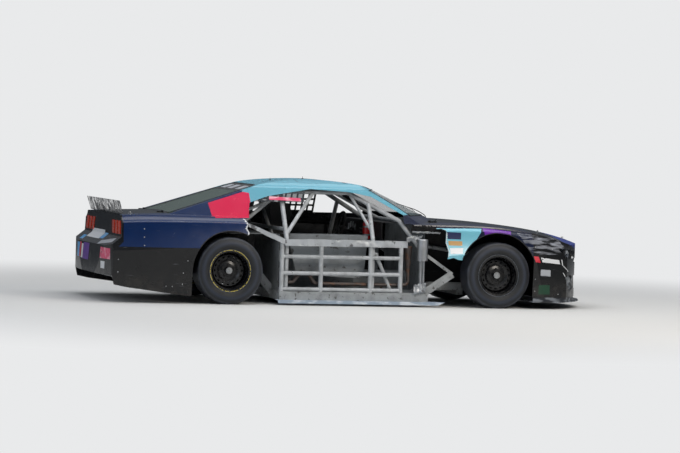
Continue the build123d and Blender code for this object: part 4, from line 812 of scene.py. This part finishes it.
# A thin plate laid on the skin: four corners are cast along heading, and it stands lift mm proud; ragged
# is the share by which its first and last edges wander
def addLaid(builder, skin, outline, heading, lift, steps=(8, 6), ragged=0.0):
    a, b, c, d = [Vector(p) for p in outline]
    columns, rows = steps
    top, foot = {}, {}
    for i in range(columns + 1):
        u = i / columns
        near, far = a * (1 - u) + b * u, d * (1 - u) + c * u
        for j in range(rows + 1):
            v = j / rows
            if j in (0, rows):
                v += ragged * random.uniform(-1, 1)  # drawn even at 0, so that later draws keep their order
            spot, normal = touch(skin, near * (1 - v) + far * v, heading)
            if spot is None:
                return
            top[i, j] = spot + normal * lift * mm
            foot[i, j] = spot - normal * plateSunk * mm
    top = {key: builder.verts.new(spot) for key, spot in top.items()}
    foot = {key: builder.verts.new(spot) for key, spot in foot.items()}
    for i in range(columns):
        for j in range(rows):
            cell = [(i, j), (i + 1, j), (i + 1, j + 1), (i, j + 1)]
            builder.faces.new([top[key] for key in cell])
            builder.faces.new([foot[key] for key in reversed(cell)])
    rim = [(i, 0) for i in range(columns)] + [(columns, j) for j in range(rows)]
    rim += [(i, rows) for i in range(columns, 0, -1)] + [(0, j) for j in range(rows, 0, -1)]
    for here, there in zip(rim, rim[1:] + rim[:1]):
        builder.faces.new((top[here], foot[here], foot[there], top[there]))


# Blank films where the real car has its plates and stickers, and cracks that bare the nose's fibreglass
rightSkin = skinOf("fender_right", "nose", "quarter_right")
leftSkin = skinOf("fender_left", "nose", "quarter_left", "door_left")
tailSkin = skinOf("rear_bumper", "quarter_right", "quarter_left", "deck_lid")
outerFrom = 0.7  # metres from the middle; nearer in it isn't the outer skin
flankFilms = {
    "noseCrackTop": ("tornFibreglass", [(666, 498), (677, 498), (688, 440), (679, 438)]),
    "noseCrackMiddle": ("tornFibreglass", [(679, 442), (690, 438), (762, 380), (755, 374)]),
    "noseCrackFoot": ("tornFibreglass", [(686, 366), (696, 366), (768, 262), (760, 260)]),
    "fenderFilmNavy": ("navyFilm", [(-545, 752), (-402, 747), (-404, 680), (-540, 682)]),
    "fenderFilmTan": ("tanFilm", [(-535, 664), (-392, 662), (-392, 618), (-530, 620)]),
    "fenderFilmWhite": ("whiteFilm", [(-520, 592), (-384, 596), (-392, 540), (-515, 536)]),
    "noseFilmRed": ("redFilm", [(352, 528), (405, 524), (425, 466), (372, 470)]),
    "noseFilmPale": ("whiteFilm", [(432, 516), (640, 492), (655, 450), (446, 470)]),
    "noseFilmGrey": ("greyFilm", [(430, 398), (545, 392), (545, 328), (430, 334)]),
    "noseFilmGreen": ("greenFilm", [(415, 244), (540, 240), (540, 150), (415, 150)]),
}
tailFilms = {
    "tailShelfPlate": ("whiteFilm", [(500, 676), (-100, 676), (-100, 590), (500, 590)]),
    "tailShelfSky": ("skyFilm", [(-110, 650), (-262, 650), (-262, 596), (-110, 596)]),
    "tailSlantStrip": ("greyFilm", [(-300, 580), (-780, 620), (-780, 580), (-300, 545)]),
    "tailPurple": ("purpleFilm", [(335, 536), (60, 536), (60, 372), (335, 372)]),
    "tailPale": ("whiteFilm", [(420, 520), (345, 520), (345, 380), (420, 380)]),
    "tailPink": ("pinkFilm", [(-490, 524), (-830, 520), (-830, 415), (-490, 415)]),
    "tailSky": ("skyFilm", [(670, 600), (520, 600), (520, 385), (670, 385)]),
    "tailRed": ("redFilm", [(510, 560), (440, 560), (440, 385), (510, 385)]),
    "tailSmall": ("whiteFilm", [(-530, 388), (-660, 388), (-660, 318), (-530, 318)]),
}


# A plate from its outline in mm in one of the views
def addPlate(builder, skin, view, outline, lift):
    start, heading = views[view]
    addLaid(builder, skin, [start(*corner) for corner in outline], heading, lift)


def addFilms(films, skin, view, lift=0.7):
    for name, (film, outline) in films.items():
        builder = bmesh.new()
        addPlate(builder, skin, view, outline, lift)
        newPiece(name, builder, plastics[film])


addFilms(flankFilms, rightSkin, "right")
addFilms(tailFilms, tailSkin, "behind")
print("blank films laid")

# Tail lamps: three slanted bars a side
tailLamps = {"from": 455, "pitch": 138, "width": 92, "slant": 34, "low": 662, "high": 790, "proud": 5}  # mm


def addTailLamps(look):
    builder = bmesh.new()
    lean, low, high = look["slant"], look["low"], look["high"]
    for way in (-1, 1):
        for k in range(3):
            near = look["from"] + k * look["pitch"]
            far = near + look["width"]
            outline = [(near - lean, high), (far - lean, high), (far, low), (near, low)]
            addPlate(builder, tailSkin, "behind", [(way * y, z) for y, z in outline], look["proud"])
    newPiece("tailLamps", builder, acrylics["orangeRedAcrylic"])


# Headlights: two bright bowls in dark cups behind each cover
headlightBowls = {
    "spots": [(722, 552), (830, 545)],
    "behind": 30,  # mm behind the cover
    "forward": 0.8,  # how much they turn forwards from square to the cover
    "bowl": [(6, 0), (22, 3), (36, 12), (43, 24), (40, 24), (30, 14), (10, 10), (2, 20)],
    "cup": [(2, -10), (46, -8), (48, 22), (44, 22), (42, 0), (2, 0)],
}


def addHeadlights(look):
    skin = skinOf("headlights")
    bowls, cups = bmesh.new(), bmesh.new()
    for side in ("right", "left"):
        for x, z in look["spots"]:
            spot, normal = touchIn(side, skin, x, z)
            if spot:
                foot = spot - normal * look["behind"] * mm
                aim = normal + Vector((look["forward"], 0, 0))
                addTurned(bowls, look["bowl"], foot, aim, 28)
                addTurned(cups, look["cup"], foot, aim, 28)
    newPiece("headlightBowls", bowls, reflector)
    newPiece("headlightCups", cups, plastics["blackRubberTrim"])


addTailLamps(tailLamps)
addHeadlights(headlightBowls)
print("lamps made")

# Wheel arches: a rolled lip round each opening, as far as its panel goes
archLips = {  # mm
    "radius": 6,
    "proud": 1.5,
    "panelFrom": 600,  # nearer the middle than this it isn't the panel
    "front": {"reach": 402.5, "back": 15, "up": 20},  # the opening's own radius and middle, from the hub
    "rear": {"reach": 388.5, "back": 0, "up": 0},
}


def addArchLip(corner, axle, way, look):
    opening = look[corner.split("_")[0]]
    skin = rightSkin if way < 0 else leftSkin
    reach = opening["reach"] * mm
    centreX = axle - opening["back"] * mm
    centreZ = axleHeight + opening["up"] * mm
    sunk = Vector((0, way * (look["radius"] - look["proud"]) * mm, 0))
    builder, run = bmesh.new(), []
    for degrees in range(0, 181, 4):
        angle = math.radians(degrees)
        start = (centreX + reach * math.cos(angle), way * clearSide, centreZ + reach * math.sin(angle))
        spot = touch(skin, start, (0, -way, 0))[0]
        onPanel = spot is not None and abs(spot.y) > look["panelFrom"] * mm
        if onPanel:
            run.append(spot - sunk)
        if run and (not onPanel or degrees == 180):
            if len(run) > 3:
                addBar(builder, run, look["radius"], sides=8)
            run = []
    newPiece(f"archLip_{corner}", builder, plastics["blackRubberTrim"])


for corner, (axle, way) in wheels.items():
    addArchLip(corner, axle, way, archLips)

# Rubber beads round the windscreen and the back glass
glassBead = {  # mm
    "radius": 4.5,
    "screen": [(-700, 896), (700, 896), (508, 1136), (-508, 1136)],
    "backHalves": (556, 468),  # half widths at the foot and the top of the back glass
    "backInset": 12,
}
screenSkin = skinOf("roof", "windshield", "rear_window")
backLow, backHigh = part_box("rear_window")


def addBead(builder, corners, heading, radius, steps=14):
    ring = []
    for a, b in zip(corners, corners[1:] + corners[:1]):
        for k in range(steps):
            spot, normal = touch(screenSkin, Vector(a).lerp(Vector(b), k / steps), heading)
            if spot:
                ring.append(spot + normal * mm)
    addBar(builder, ring, radius, sides=8, closed=True)


def addGlassBeads(look):
    builder = bmesh.new()
    start, heading = views["screen"]
    addBead(builder, [start(*corner) for corner in look["screen"]], heading, look["radius"])
    foot, top = [half * mm for half in look["backHalves"]]
    footX = backLow.x + look["backInset"] * mm
    corners = [(footX, foot), (footX, -foot), (backHigh.x, -top), (backHigh.x, top)]
    addBead(builder, [(x, y, clearUp) for x, y in corners], down, look["radius"])
    newPiece("glassBeads", builder, plastics["blackRubberTrim"])


addGlassBeads(glassBead)

# Back glass: two straps over it, a dark band along its top, and blank plates on the band
backGlass = {  # mm; ends are how far short of the foot and the top each stays
    "strap": 26,
    "strapsAt": (-170, 170),
    "strapEnds": (30, 20),
    "band": 190,
    "bandHalf": 455,
    "bandEnd": 12,
    "plateHalf": 90,
    "platesAt": (-300, 20, 300),
    "plateEnds": (40, 50),
}


# Corners of a rectangle held over the car, for rays that go down
def boxAbove(x0, x1, y0, y1):
    return [(x0, y0, clearUp), (x1, y0, clearUp), (x1, y1, clearUp), (x0, y1, clearUp)]


def addBackGlass(look):
    skin = skinOf("rear_window")
    dark, pale = bmesh.new(), bmesh.new()
    bandFoot, bandHalf = backHigh.x - look["band"] * mm, look["bandHalf"] * mm

    def addRow(builder, foot, ends, places, half, lift, steps):
        x0, x1 = foot + ends[0] * mm, backHigh.x - ends[1] * mm
        for y in places:
            addLaid(builder, skin, boxAbove(x0, x1, (y - half) * mm, (y + half) * mm), down, lift, steps)

    addRow(dark, backLow.x, look["strapEnds"], look["strapsAt"], look["strap"] / 2, 2.5, (20, 2))
    band = boxAbove(bandFoot, backHigh.x - look["bandEnd"] * mm, -bandHalf, bandHalf)
    addLaid(dark, skin, band, down, 0.8, (6, 12))
    addRow(pale, bandFoot, look["plateEnds"], look["platesAt"], look["plateHalf"], 2.0, (4, 4))
    newPiece("backGlassStraps", dark, metals["blackChassisPaint"])
    newPiece("backGlassPlates", pale, plastics["greyFilm"])


addBackGlass(backGlass)

# Colour band on the right quarter pane, blue over pink-red
paneBands = {
    "paneBandBlue": ("skyFilm", [(-2300, 1090), (-1980, 1076), (-1980, 1046), (-2300, 1058)]),
    "paneBandRed": ("pinkFilm", [(-2300, 1057), (-1980, 1045), (-1980, 1014), (-2300, 1024)]),
}
addFilms(paneBands, skinOf("quarter_windows"), "right", 0.6)

# Wiper, parked low across the middle of the screen
wiper = {  # mm
    "from": (-420, 925),
    "to": (60, 990),
    "proud": 8,
    "blade": (2.5, 6),  # half sizes, and so are the arm's
    "arm": (5, 4),
    "pivot": (-540, -150),
    "knee": (-20, 0, 35),
    "bow": (0, 0, 10),
    "heldAt": 8,  # which of the blade's points the arm holds
}


def addWiper(look, steps=14):
    skin, blade = skinOf("windshield"), []
    for k in range(steps + 1):
        y, z = [a + (b - a) * k / steps for a, b in zip(look["from"], look["to"])]
        spot, normal = touchIn("screen", skin, y, z)
        if spot:
            blade.append(spot + normal * look["proud"] * mm)
    builder = bmesh.new()
    addBar(builder, blade, *look["blade"], sides=8)
    pivot, held = touchIn("above", skinOf("cowl"), *look["pivot"])[0], blade[look["heldAt"]]
    knee = pivot + Vector(look["knee"]) * mm
    bow = knee.lerp(held, 0.5) + Vector(look["bow"]) * mm
    addBar(builder, eased([pivot, knee, bow, held], 4), *look["arm"], sides=8)
    newPiece("wiper", builder, metals["blackChassisPaint"])


addWiper(wiper)

# Roof: two short aerials, and the seams of its two flaps
roofTrim = {  # mm
    "aerials": [(-2150, -50), (-1800, 0)],
    "aerial": [(12, -1), (12, 3), (3, 6), (1.6, 22), (1.2, 22)],
    "flapsAt": (-340, 340),
    "flap": (-2420, -1960),
    "half": 85,
    "seam": 2,  # half width
}


def addRoofTrim(look):
    skin, seam = skinOf("roof"), look["seam"] * mm
    aerials, seams = bmesh.new(), bmesh.new()
    for x, y in look["aerials"]:
        addTurned(aerials, look["aerial"], touchIn("above", skin, x, y)[0], (0, 0, 1), 12)
    x0, x1 = [ahead(x) for x in look["flap"]]
    for y in look["flapsAt"]:
        low, high = (y - look["half"]) * mm, (y + look["half"]) * mm
        for edge in (low, high):
            addLaid(seams, skin, boxAbove(x0, x1, edge - seam, edge + seam), down, 0.8, (12, 1))
        for x in (x0, x1):
            addLaid(seams, skin, boxAbove(x - seam, x + seam, low, high), down, 0.8, (1, 8))
    newPiece("roofAerials", aerials, plastics["blackRubberTrim"])
    newPiece("roofFlapSeams", seams, plastics["blackRubberTrim"])


addRoofTrim(roofTrim)
print("glass trim and roof pieces made")

# Lid pins: a plate, a post and a ring clip each
lidPins = {
    "hood": ("hood_lid", [(860, -300), (860, 300), (540, -470), (540, 470)]),
    "deck_lid": ("rear_lid", [(-3330, -560), (-3330, 560), (-3680, -560), (-3680, 560)]),
}
pinLook = {  # mm
    "profile": [(24, -0.4), (24, 1.2), (22, 2), (10, 2.2), (6, 2.4), (6, 17), (4.5, 20), (1, 21)],
    "ring": 13,
    "ringUp": 12,
    "wire": 1.3,
}


def addLidPins(node, body, spots, look):
    skin, builder = skinOf(node), bmesh.new()
    angles = [math.pi * k / 10 for k in range(20)]
    for x, y in spots:
        spot, normal = touchIn("above", skin, x, y)
        if spot:
            addTurned(builder, look["profile"], spot, normal, 20)
            centre = spot + normal * look["ringUp"] * mm
            ring = [centre + Vector((math.cos(a), math.sin(a), 0)) * look["ring"] * mm for a in angles]
            addBar(builder, ring, look["wire"], sides=6, closed=True)
    newPiece(f"{node}_pins", builder, metals["zincPlate"], body)


for node, (body, spots) in lidPins.items():
    addLidPins(node, body, spots, pinLook)

# Screws along the panels' edges, placed in side view
screwProfile = [(5.5, -0.3), (5.5, 0.5), (4.4, 1.2), (2, 1.5), (1.6, 0.6)]
screwsOnBoth = [(-3610, z) for z in (560, 640, 720)] + [(-3860, z) for z in (300, 420)]
screwsOnBoth += [(-3384, 170), (-3324, 166), (-3180, 420), (-3220, 300), (-3225, 190)]
screwsOnBoth += [(375, z) for z in (180, 300, 620)] + [(560, 600), (640, 150)]
screwsOnLeft = [(x, z) for z in (120, 790) for x in (-2100, -1700, -1300, -900)]
screwsOnLeft += [(-560, z) for z in (300, 500, 700)]


def addScrews(side, skin, spots):
    builder = bmesh.new()
    for x, z in spots:
        spot, normal = touchIn(side, skin, x, z)
        if spot and abs(spot.y) > outerFrom:
            addTurned(builder, screwProfile, spot, normal, 12)
    newPiece(f"panelScrews_{side}", builder, metals["zincPlate"])


addScrews("right", rightSkin, screwsOnBoth)
addScrews("left", leftSkin, screwsOnBoth + screwsOnLeft)
print("pins and screws set")

# Wheels: five nuts on a circle and a turned cap on each
wheelParts = {
    "nutCircle": 62,  # mm
    "nut": [(12, -0.5), (12, 9), (9.6, 12), (6, 12.2), (5.5, 8)],
    "cap": [(33, -1), (33, 5), (30, 8), (18, 9), (17, 11), (10, 11.5), (1, 11)],
}


def dressWheel(corner, axle, way, look):
    skin, body = skinOf(f"wheel_{corner}"), "{}_wheel_{}".format(*corner.split("_"))
    nuts, cap = bmesh.new(), bmesh.new()
    for k in range(5):
        angle = 0.3 + 2 * math.pi * k / 5
        x = axle + look["nutCircle"] * mm * math.cos(angle)
        z = axleHeight + look["nutCircle"] * mm * math.sin(angle)
        spot = touch(skin, (x, way * clearSide, z), (0, -way, 0))[0]
        addTurned(nuts, look["nut"], spot, (0, way, 0), 6)
    hub = touch(skin, (axle + 0.004, way * clearSide, axleHeight), (0, -way, 0))[0]  # just beside the axis
    addTurned(cap, look["cap"], (axle, hub.y, axleHeight), (0, way, 0), 32)
    newPiece(f"wheelNuts_{corner}", nuts, metals["blackChassisPaint"], body)
    newPiece(f"wheelCap_{corner}", cap, metals["zincPlate"], body)


for corner, (axle, way) in wheels.items():
    dressWheel(corner, axle, way, wheelParts)
print("wheels dressed")

# Torn edges: a ragged pale rim where the shell broke, at the front of the right quarter panel and at the
# rear of the right fender
tornEdges = {  # mm; the search runs along the car towards the broken end
    "quarterEdge": {"node": "quarter_right", "heights": (835, 640), "search": (-2700, -2500), "width": 16},
    "fenderEdge": {"node": "fender_right", "heights": (770, 500), "search": (-200, -880), "width": 8},
}
tornSteps = {"down": 7, "along": 2, "proud": 1.1}  # mm


def addTornEdge(name, look):
    skin = skinOf(look["node"])
    near, far = look["search"]
    way = 1 if far > near else -1
    inside, outside = [], []
    for z in range(*look["heights"], -tornSteps["down"]):
        last = None
        for x in range(near, far, way * tornSteps["along"]):
            spot, normal = touchIn("right", skin, x, z)
            if spot and spot.y < -outerFrom:
                last = spot + normal * tornSteps["proud"] * mm
        if last:
            width = look["width"] * random.uniform(0.3, 1.6) * mm * way
            inside.append(last - Vector((width, 0, 0)))
            outside.append(last)
    builder = bmesh.new()
    rows = [[builder.verts.new(a), builder.verts.new(b)] for a, b in zip(inside, outside)]
    for (a, b), (c, d) in zip(rows, rows[1:]):
        builder.faces.new((a, b, d, c))
    newPiece(name, builder, plastics["tornFibreglass"])


for name, look in tornEdges.items():
    addTornEdge(name, look)


sheetThick = 1.2  # mm


# A crumpled sheet: a grid between its top and its foot edge, folded by noise and torn along all its edges
crumpledSheets = {  # mm
    "tornTongue": {
        "top": [(-955, -888, 690), (-785, -880, 712)], "foot": [(-955, -888, 640), (-812, -884, 676)],
        "fold": 14, "size": 70, "ragged": 10, "metal": "crumpledAluminium",
    },
    "tornCowlSkin": {
        "top": [(-905, -880, 812), (-640, -860, 800)], "foot": [(-905, -886, 742), (-655, -868, 752)],
        "fold": 22, "size": 90, "ragged": 16, "metal": "blackChassisPaint",
    },
    "tornCowlRim": {
        "top": [(-900, -896, 756), (-600, -874, 742)], "foot": [(-900, -898, 738), (-610, -876, 730)],
        "fold": 12, "size": 60, "ragged": 5, "metal": "crumpledAluminium",
    },
    "crushedSill": {
        "top": [(-870, -905, 140), (-745, -895, 132)], "foot": [(-868, -890, 215), (-740, -880, 250)],
        "fold": 20, "size": 60, "ragged": 14, "metal": "crumpledAluminium",
    },
    "noseCore": {  # behind the hole in the nose, along the skin's curve
        "top": [(715, -846, 380), (760, -792, 380), (810, -724, 380), (850, -658, 380), (890, -580, 380)],
        "foot": [(715, -846, 160), (760, -792, 160), (810, -724, 160), (850, -658, 160), (890, -580, 160)],
        "fold": 14, "size": 45, "ragged": 3, "metal": "crumpledAluminium",
    },
}


def addCrumpledSheet(name, look, steps=(22, 10)):
    top, foot = [[Vector((ahead(x), y * mm, z * mm)) for x, y, z in look[edge]] for edge in ("top", "foot")]
    down = (foot[0] - top[0]).normalized()
    facing = (top[-1] - top[0]).cross(down).normalized()
    builder, grid = bmesh.new(), {}
    for i in range(steps[0] + 1):
        way = i / steps[0] * (len(top) - 1)
        k = min(int(way), len(top) - 2)
        upper, lower = [edge[k].lerp(edge[k + 1], way - k) for edge in (top, foot)]
        for j in range(steps[1] + 1):
            spot = upper.lerp(lower, j / steps[1])
            if j in (0, steps[1]) or i in (0, steps[0]):
                spot += down * look["ragged"] * mm * random.uniform(-1, 1)
            wave = spot / (look["size"] * mm)
            fold = noise.noise(wave) + 0.4 * noise.noise(wave * 2.7)
            grid[i, j] = builder.verts.new(spot + facing * fold * look["fold"] * mm)
    for i in range(steps[0]):
        for j in range(steps[1]):
            corner = grid[i, j], grid[i + 1, j], grid[i + 1, j + 1], grid[i, j + 1]
            builder.faces.new(corner[:3])
            builder.faces.new((corner[0], corner[2], corner[3]))
    bmesh.ops.solidify(builder, geom=builder.faces[:], thickness=sheetThick * mm)
    newPiece(name, builder, metals[look["metal"]], sharp=25)


for name, look in crumpledSheets.items():
    addCrumpledSheet(name, look)


# The beam over the door bars: the CAD sheet with its long runs cut up and beaten in
beatenBeam = {"dent": 7, "size": 120, "pieceLength": 18, "cuts": 7}  # mm, then rounds of cuts


def beatBeam(look):
    source = nodes["sill_beam"]
    low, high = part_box("sill_beam")
    builder = bmesh.new()
    builder.from_mesh(source.data)
    bmesh.ops.transform(builder, matrix=source.matrix_world, verts=builder.verts)
    for turn in range(look["cuts"]):
        long = [edge for edge in builder.edges if edge.calc_length() > look["pieceLength"] * mm]
        if long:
            bmesh.ops.subdivide_edges(builder, edges=long, cuts=1, use_grid_fill=False)
            bmesh.ops.triangulate(builder, faces=[face for face in builder.faces if len(face.verts) > 3])
    for vert in builder.verts:
        wave = vert.co / (look["size"] * mm)
        push = noise.noise(wave) + 0.5 * noise.noise(wave * 2.3) + 0.25 * noise.noise(wave * 5)
        vert.co.y += push * look["dent"] * mm
        vert.co.z += noise.noise(wave + Vector((7, 3, 1))) * look["dent"] * mm
        for k in range(3):
            vert.co[k] = min(max(vert.co[k], low[k]), high[k])
    print("beaten beam:", len(builder.faces), "faces")
    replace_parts(newPiece("beatenBeam", builder, metals["crumpledAluminium"], sharp=20), "sill_beam")


beatBeam(beatenBeam)
print("torn and crumpled sheets made")

# Inner panels round the wheels: beaded sheets from a foot edge up to what is above their top edge
panelLook = {"gap": 10, "deep": 4, "highest": 845}  # mm
beadShape = ((0, 0), (0.12, 0), (0.18, 1), (0.82, 1), (0.88, 0), (1, 0))  # shares of the way up, and out
# The left one's edges in plan, the height it is looked up and down from, what it stands on or else the
# height of its foot, and what it ends under
innerPanels = {
    "frontAprons": {
        "foot": [(-620, 402), (394, 402)], "top": [(-620, 525), (394, 525)], "from": 620,
        "on": "frame", "under": ("hood", "cowl"),
    },
    "rearTubs": {
        "foot": [(-3080, 505), (-2420, 505)], "top": [(-3080, 560), (-2420, 560)], "from": 620,
        "on": "frame", "under": ("tins",),
    },
    "deckSides": {
        "foot": [(-3080, 565), (-2540, 565)], "top": [(-3080, 640), (-2540, 640)], "from": 760,
        "on": "tins", "under": ("quarter_left", "roof"),
    },
    "noseSides": {
        "foot": [(395, 405), (395, 905)], "top": [(395, 405), (395, 905)], "from": 600,
        "low": 124, "under": ("hood", "nose", "fender_left"),
    },
    "tubBacks": {
        "foot": [(-3100, 517), (-3100, 915)], "top": [(-3100, 517), (-3100, 915)], "from": 600,
        "low": 300, "under": ("tins", "quarter_left"),
    },
}


def addInnerPanels(name, look, columns=48):
    builder, lid = bmesh.new(), skinOf(*look["under"])
    stand = skinOf(look["on"]) if "on" in look else None
    eye = look["from"] * mm
    foot, top = [[Vector((ahead(x), y * mm, eye)) for x, y in look[edge]] for edge in ("foot", "top")]
    outward = Vector((foot[0].y - foot[1].y, foot[1].x - foot[0].x, 0)).normalized()
    level = panelLook["highest"] * mm
    for way in (-1, 1):
        rows = []
        for i in range(columns + 1):
            low, high = [edge[0].lerp(edge[1], i / columns) for edge in (foot, top)]
            low.z = touch(stand, low, down)[0].z if stand else look["low"] * mm
            above = touch(lid, high, (0, 0, 1))[0]
            if above:  # through a shut line there is nothing above, and the last height stays
                level = min(above.z - panelLook["gap"] * mm, panelLook["highest"] * mm)
            high.z = level
            bead = panelLook["deep"] * mm * (i % 8 in (3, 4))
            spots = [low.lerp(high, share) + outward * out * bead for share, out in beadShape]
            rows.append([builder.verts.new((spot.x, way * spot.y, spot.z)) for spot in spots])
        for back, front in zip(rows, rows[1:]):
            for k in range(len(beadShape) - 1):
                builder.faces.new((back[k], front[k], front[k + 1], back[k + 1]))
    bmesh.ops.solidify(builder, geom=builder.faces[:], thickness=sheetThick * mm)
    newPiece(name, builder, metals["blackChassisPaint"])


for name, look in innerPanels.items():
    addInnerPanels(name, look)

# Coil springs round the front struts
coilSpring = {"foot": (0, 588, 235), "top": (0, 460, 470), "radius": 34, "turns": 6, "wire": 5.5}  # mm


def addSprings(look, axle, steps=16):
    builder = bmesh.new()
    for way in (-1, 1):
        foot, top = [Vector((axle + x * mm, way * y * mm, z * mm)) for x, y, z in (look["foot"], look["top"])]
        axis = (top - foot).normalized()
        across = axis.orthogonal().normalized()
        other = axis.cross(across)
        coil = []
        for k in range(look["turns"] * steps + 1):
            a = 2 * math.pi * k / steps
            out = across * math.cos(a) + other * math.sin(a)
            coil.append(foot.lerp(top, k / (look["turns"] * steps)) + out * look["radius"] * mm)
        addBar(builder, coil, look["wire"], sides=6)
    newPiece("springs_front", builder, metals["springSteelPaint"])


addSprings(coilSpring, frontAxle)

# Seat: two shoulder straps that close up towards a round buckle
harness = {  # mm
    "strap": (22, 2.5),  # half sizes
    "shoulders": (330, 470),
    "middle": 400,
    "closing": 0.75,  # share of the way to the middle at the buckle
    "top": 930,
    "lap": 520,
    "proud": 5,
    "buckle": [(8, -4), (36, -2), (36, 8), (30, 11), (8, 12)],
}


def addHarness(look, steps=15):
    skin, centre = skinOf("seat"), None
    straps, buckle = bmesh.new(), bmesh.new()
    for shoulder in look["shoulders"]:
        run = []
        for share in (k / steps for k in range(steps + 1)):
            y = shoulder + (look["middle"] - shoulder) * look["closing"] * share
            z = look["top"] - (look["top"] - look["lap"]) * share
            spot, normal = touchIn("seat", skin, y, z)
            if spot:
                run.append(spot + normal * look["proud"] * mm)
        if len(run) > 3:
            addBar(straps, run, *look["strap"], sides=4, facing=(0, 1, 0))
            centre = run[-1]
    if centre:
        addTurned(buckle, look["buckle"], (centre.x, look["middle"] * mm, centre.z), (1, 0, 0.2), 20)
    newPiece("harnessStraps", straps, webbings["redWebbing"])
    newPiece("harnessBuckle", buckle, metals["zincPlate"])


addHarness(harness)

# Dashboard: a row of round dials with bright rims, and two rows of switches
dashDials = {  # mm
    "spots": [(290, 745), (370, 765), (450, 765), (530, 745), (410, 690)],
    "radius": 32,
    "switches": [(100 - 35 * k, z) for k in range(8) for z in (700, 740)],
    "switch": [(8, -1), (8, 2), (4, 2.5), (3, 3), (2.2, 15), (1, 15.5)],
}


def addDials(look):
    skin, r = skinOf("dashboard"), look["radius"]
    rim = [(r - 5, -1), (r, -1), (r, 5), (r - 3, 7), (r - 5, 3)]
    face = [(r - 4, 0), (r - 4, 3), (3, 3.2), (1, 3)]
    rims, faces, switches = bmesh.new(), bmesh.new(), bmesh.new()
    shapes = [
        (rims, rim, "spots", 24),
        (faces, face, "spots", 24),
        (switches, look["switch"], "switches", 10),
    ]
    for builder, shape, places, sides in shapes:
        for y, z in look[places]:
            spot, normal = touchIn("dash", skin, y, z)
            if spot:
                addTurned(builder, shape, spot, normal, sides)
    newPiece("dialRims", rims, metals["zincPlate"])
    newPiece("dialFaces", faces, plastics["whiteFilm"])
    newPiece("dashSwitches", switches, metals["zincPlate"])


addDials(dashDials)

# Fire bottle: a red cylinder strapped upright to the dashboard's right half
fireBottle = {  # mm
    "at": -300,
    "foot": 640,
    "radius": 42,
    "length": 190,
    "clear": 3,  # from the dashboard's face, taken at this height
    "faceAt": 720,
    "bandsAt": (40, 120),
    "band": 16,
}


def addFireBottle(look):
    r, tall, band = look["radius"], look["length"], look["band"]
    face = touchIn("dash", skinOf("dashboard"), look["at"], look["faceAt"])[0]
    foot = Vector((face.x - (r + look["clear"]) * mm, look["at"] * mm, look["foot"] * mm))
    bottle, bands = bmesh.new(), bmesh.new()
    shape = [(r * 0.6, 0), (r, 8), (r, tall - 34)]
    shape += [(r * 0.82, tall - 14), (r * 0.42, tall), (r * 0.3, tall + 2)]
    addTurned(bottle, shape, foot, (0, 0, 1), 24)
    valve = [(8, tall - 2), (14, tall), (14, tall + 12), (9, tall + 16), (4, tall + 16)]
    addTurned(bands, valve, foot, (0, 0, 1), 16)
    for low in look["bandsAt"]:
        ring = [(r + 0.2, low), (r + 2.5, low), (r + 2.5, low + band), (r + 0.2, low + band)]
        addTurned(bands, ring, foot, (0, 0, 1), 24)
    newPiece("fireBottle", bottle, plastics["redBottlePaint"])
    newPiece("fireBottleBands", bands, metals["zincPlate"])


addFireBottle(fireBottle)

# Nose: a mesh of slim bars behind both openings, swept back towards the sides
noseMesh = {  # mm
    "pitch": 26,
    "bar": 2.2,
    "levels": [(212, 308), (466, 494)],
    "overrun": 8,  # of the uprights past the level bars
    "half": 560,
    "front": 985,
    "sweep": 130,  # back, at sweepAt from the middle
    "sweepAt": 540,
}


def addNoseMesh(look, steps=24):
    builder, half = bmesh.new(), look["half"]

    def swept(y, z):
        return ahead(look["front"] - look["sweep"] * (y / look["sweepAt"]) ** 2), y * mm, z * mm

    for low, high in look["levels"]:
        for k in range(int(2 * half / look["pitch"]) + 1):
            y = k * look["pitch"] - half
            ends = (low - look["overrun"], high + look["overrun"])
            addBar(builder, [swept(y, z) for z in ends], look["bar"], sides=4)
        rows = max(2, int((high - low) / look["pitch"]))
        for k in range(rows + 1):
            z = low + (high - low) * k / rows
            run = [swept(2 * half * i / steps - half, z) for i in range(steps + 1)]
            addBar(builder, run, look["bar"], sides=4, facing=(0, 0, 1))
    newPiece("noseMesh", builder, metals["blackChassisPaint"])


addNoseMesh(noseMesh)
print("springs, harness, dials, bottle and nose mesh made")
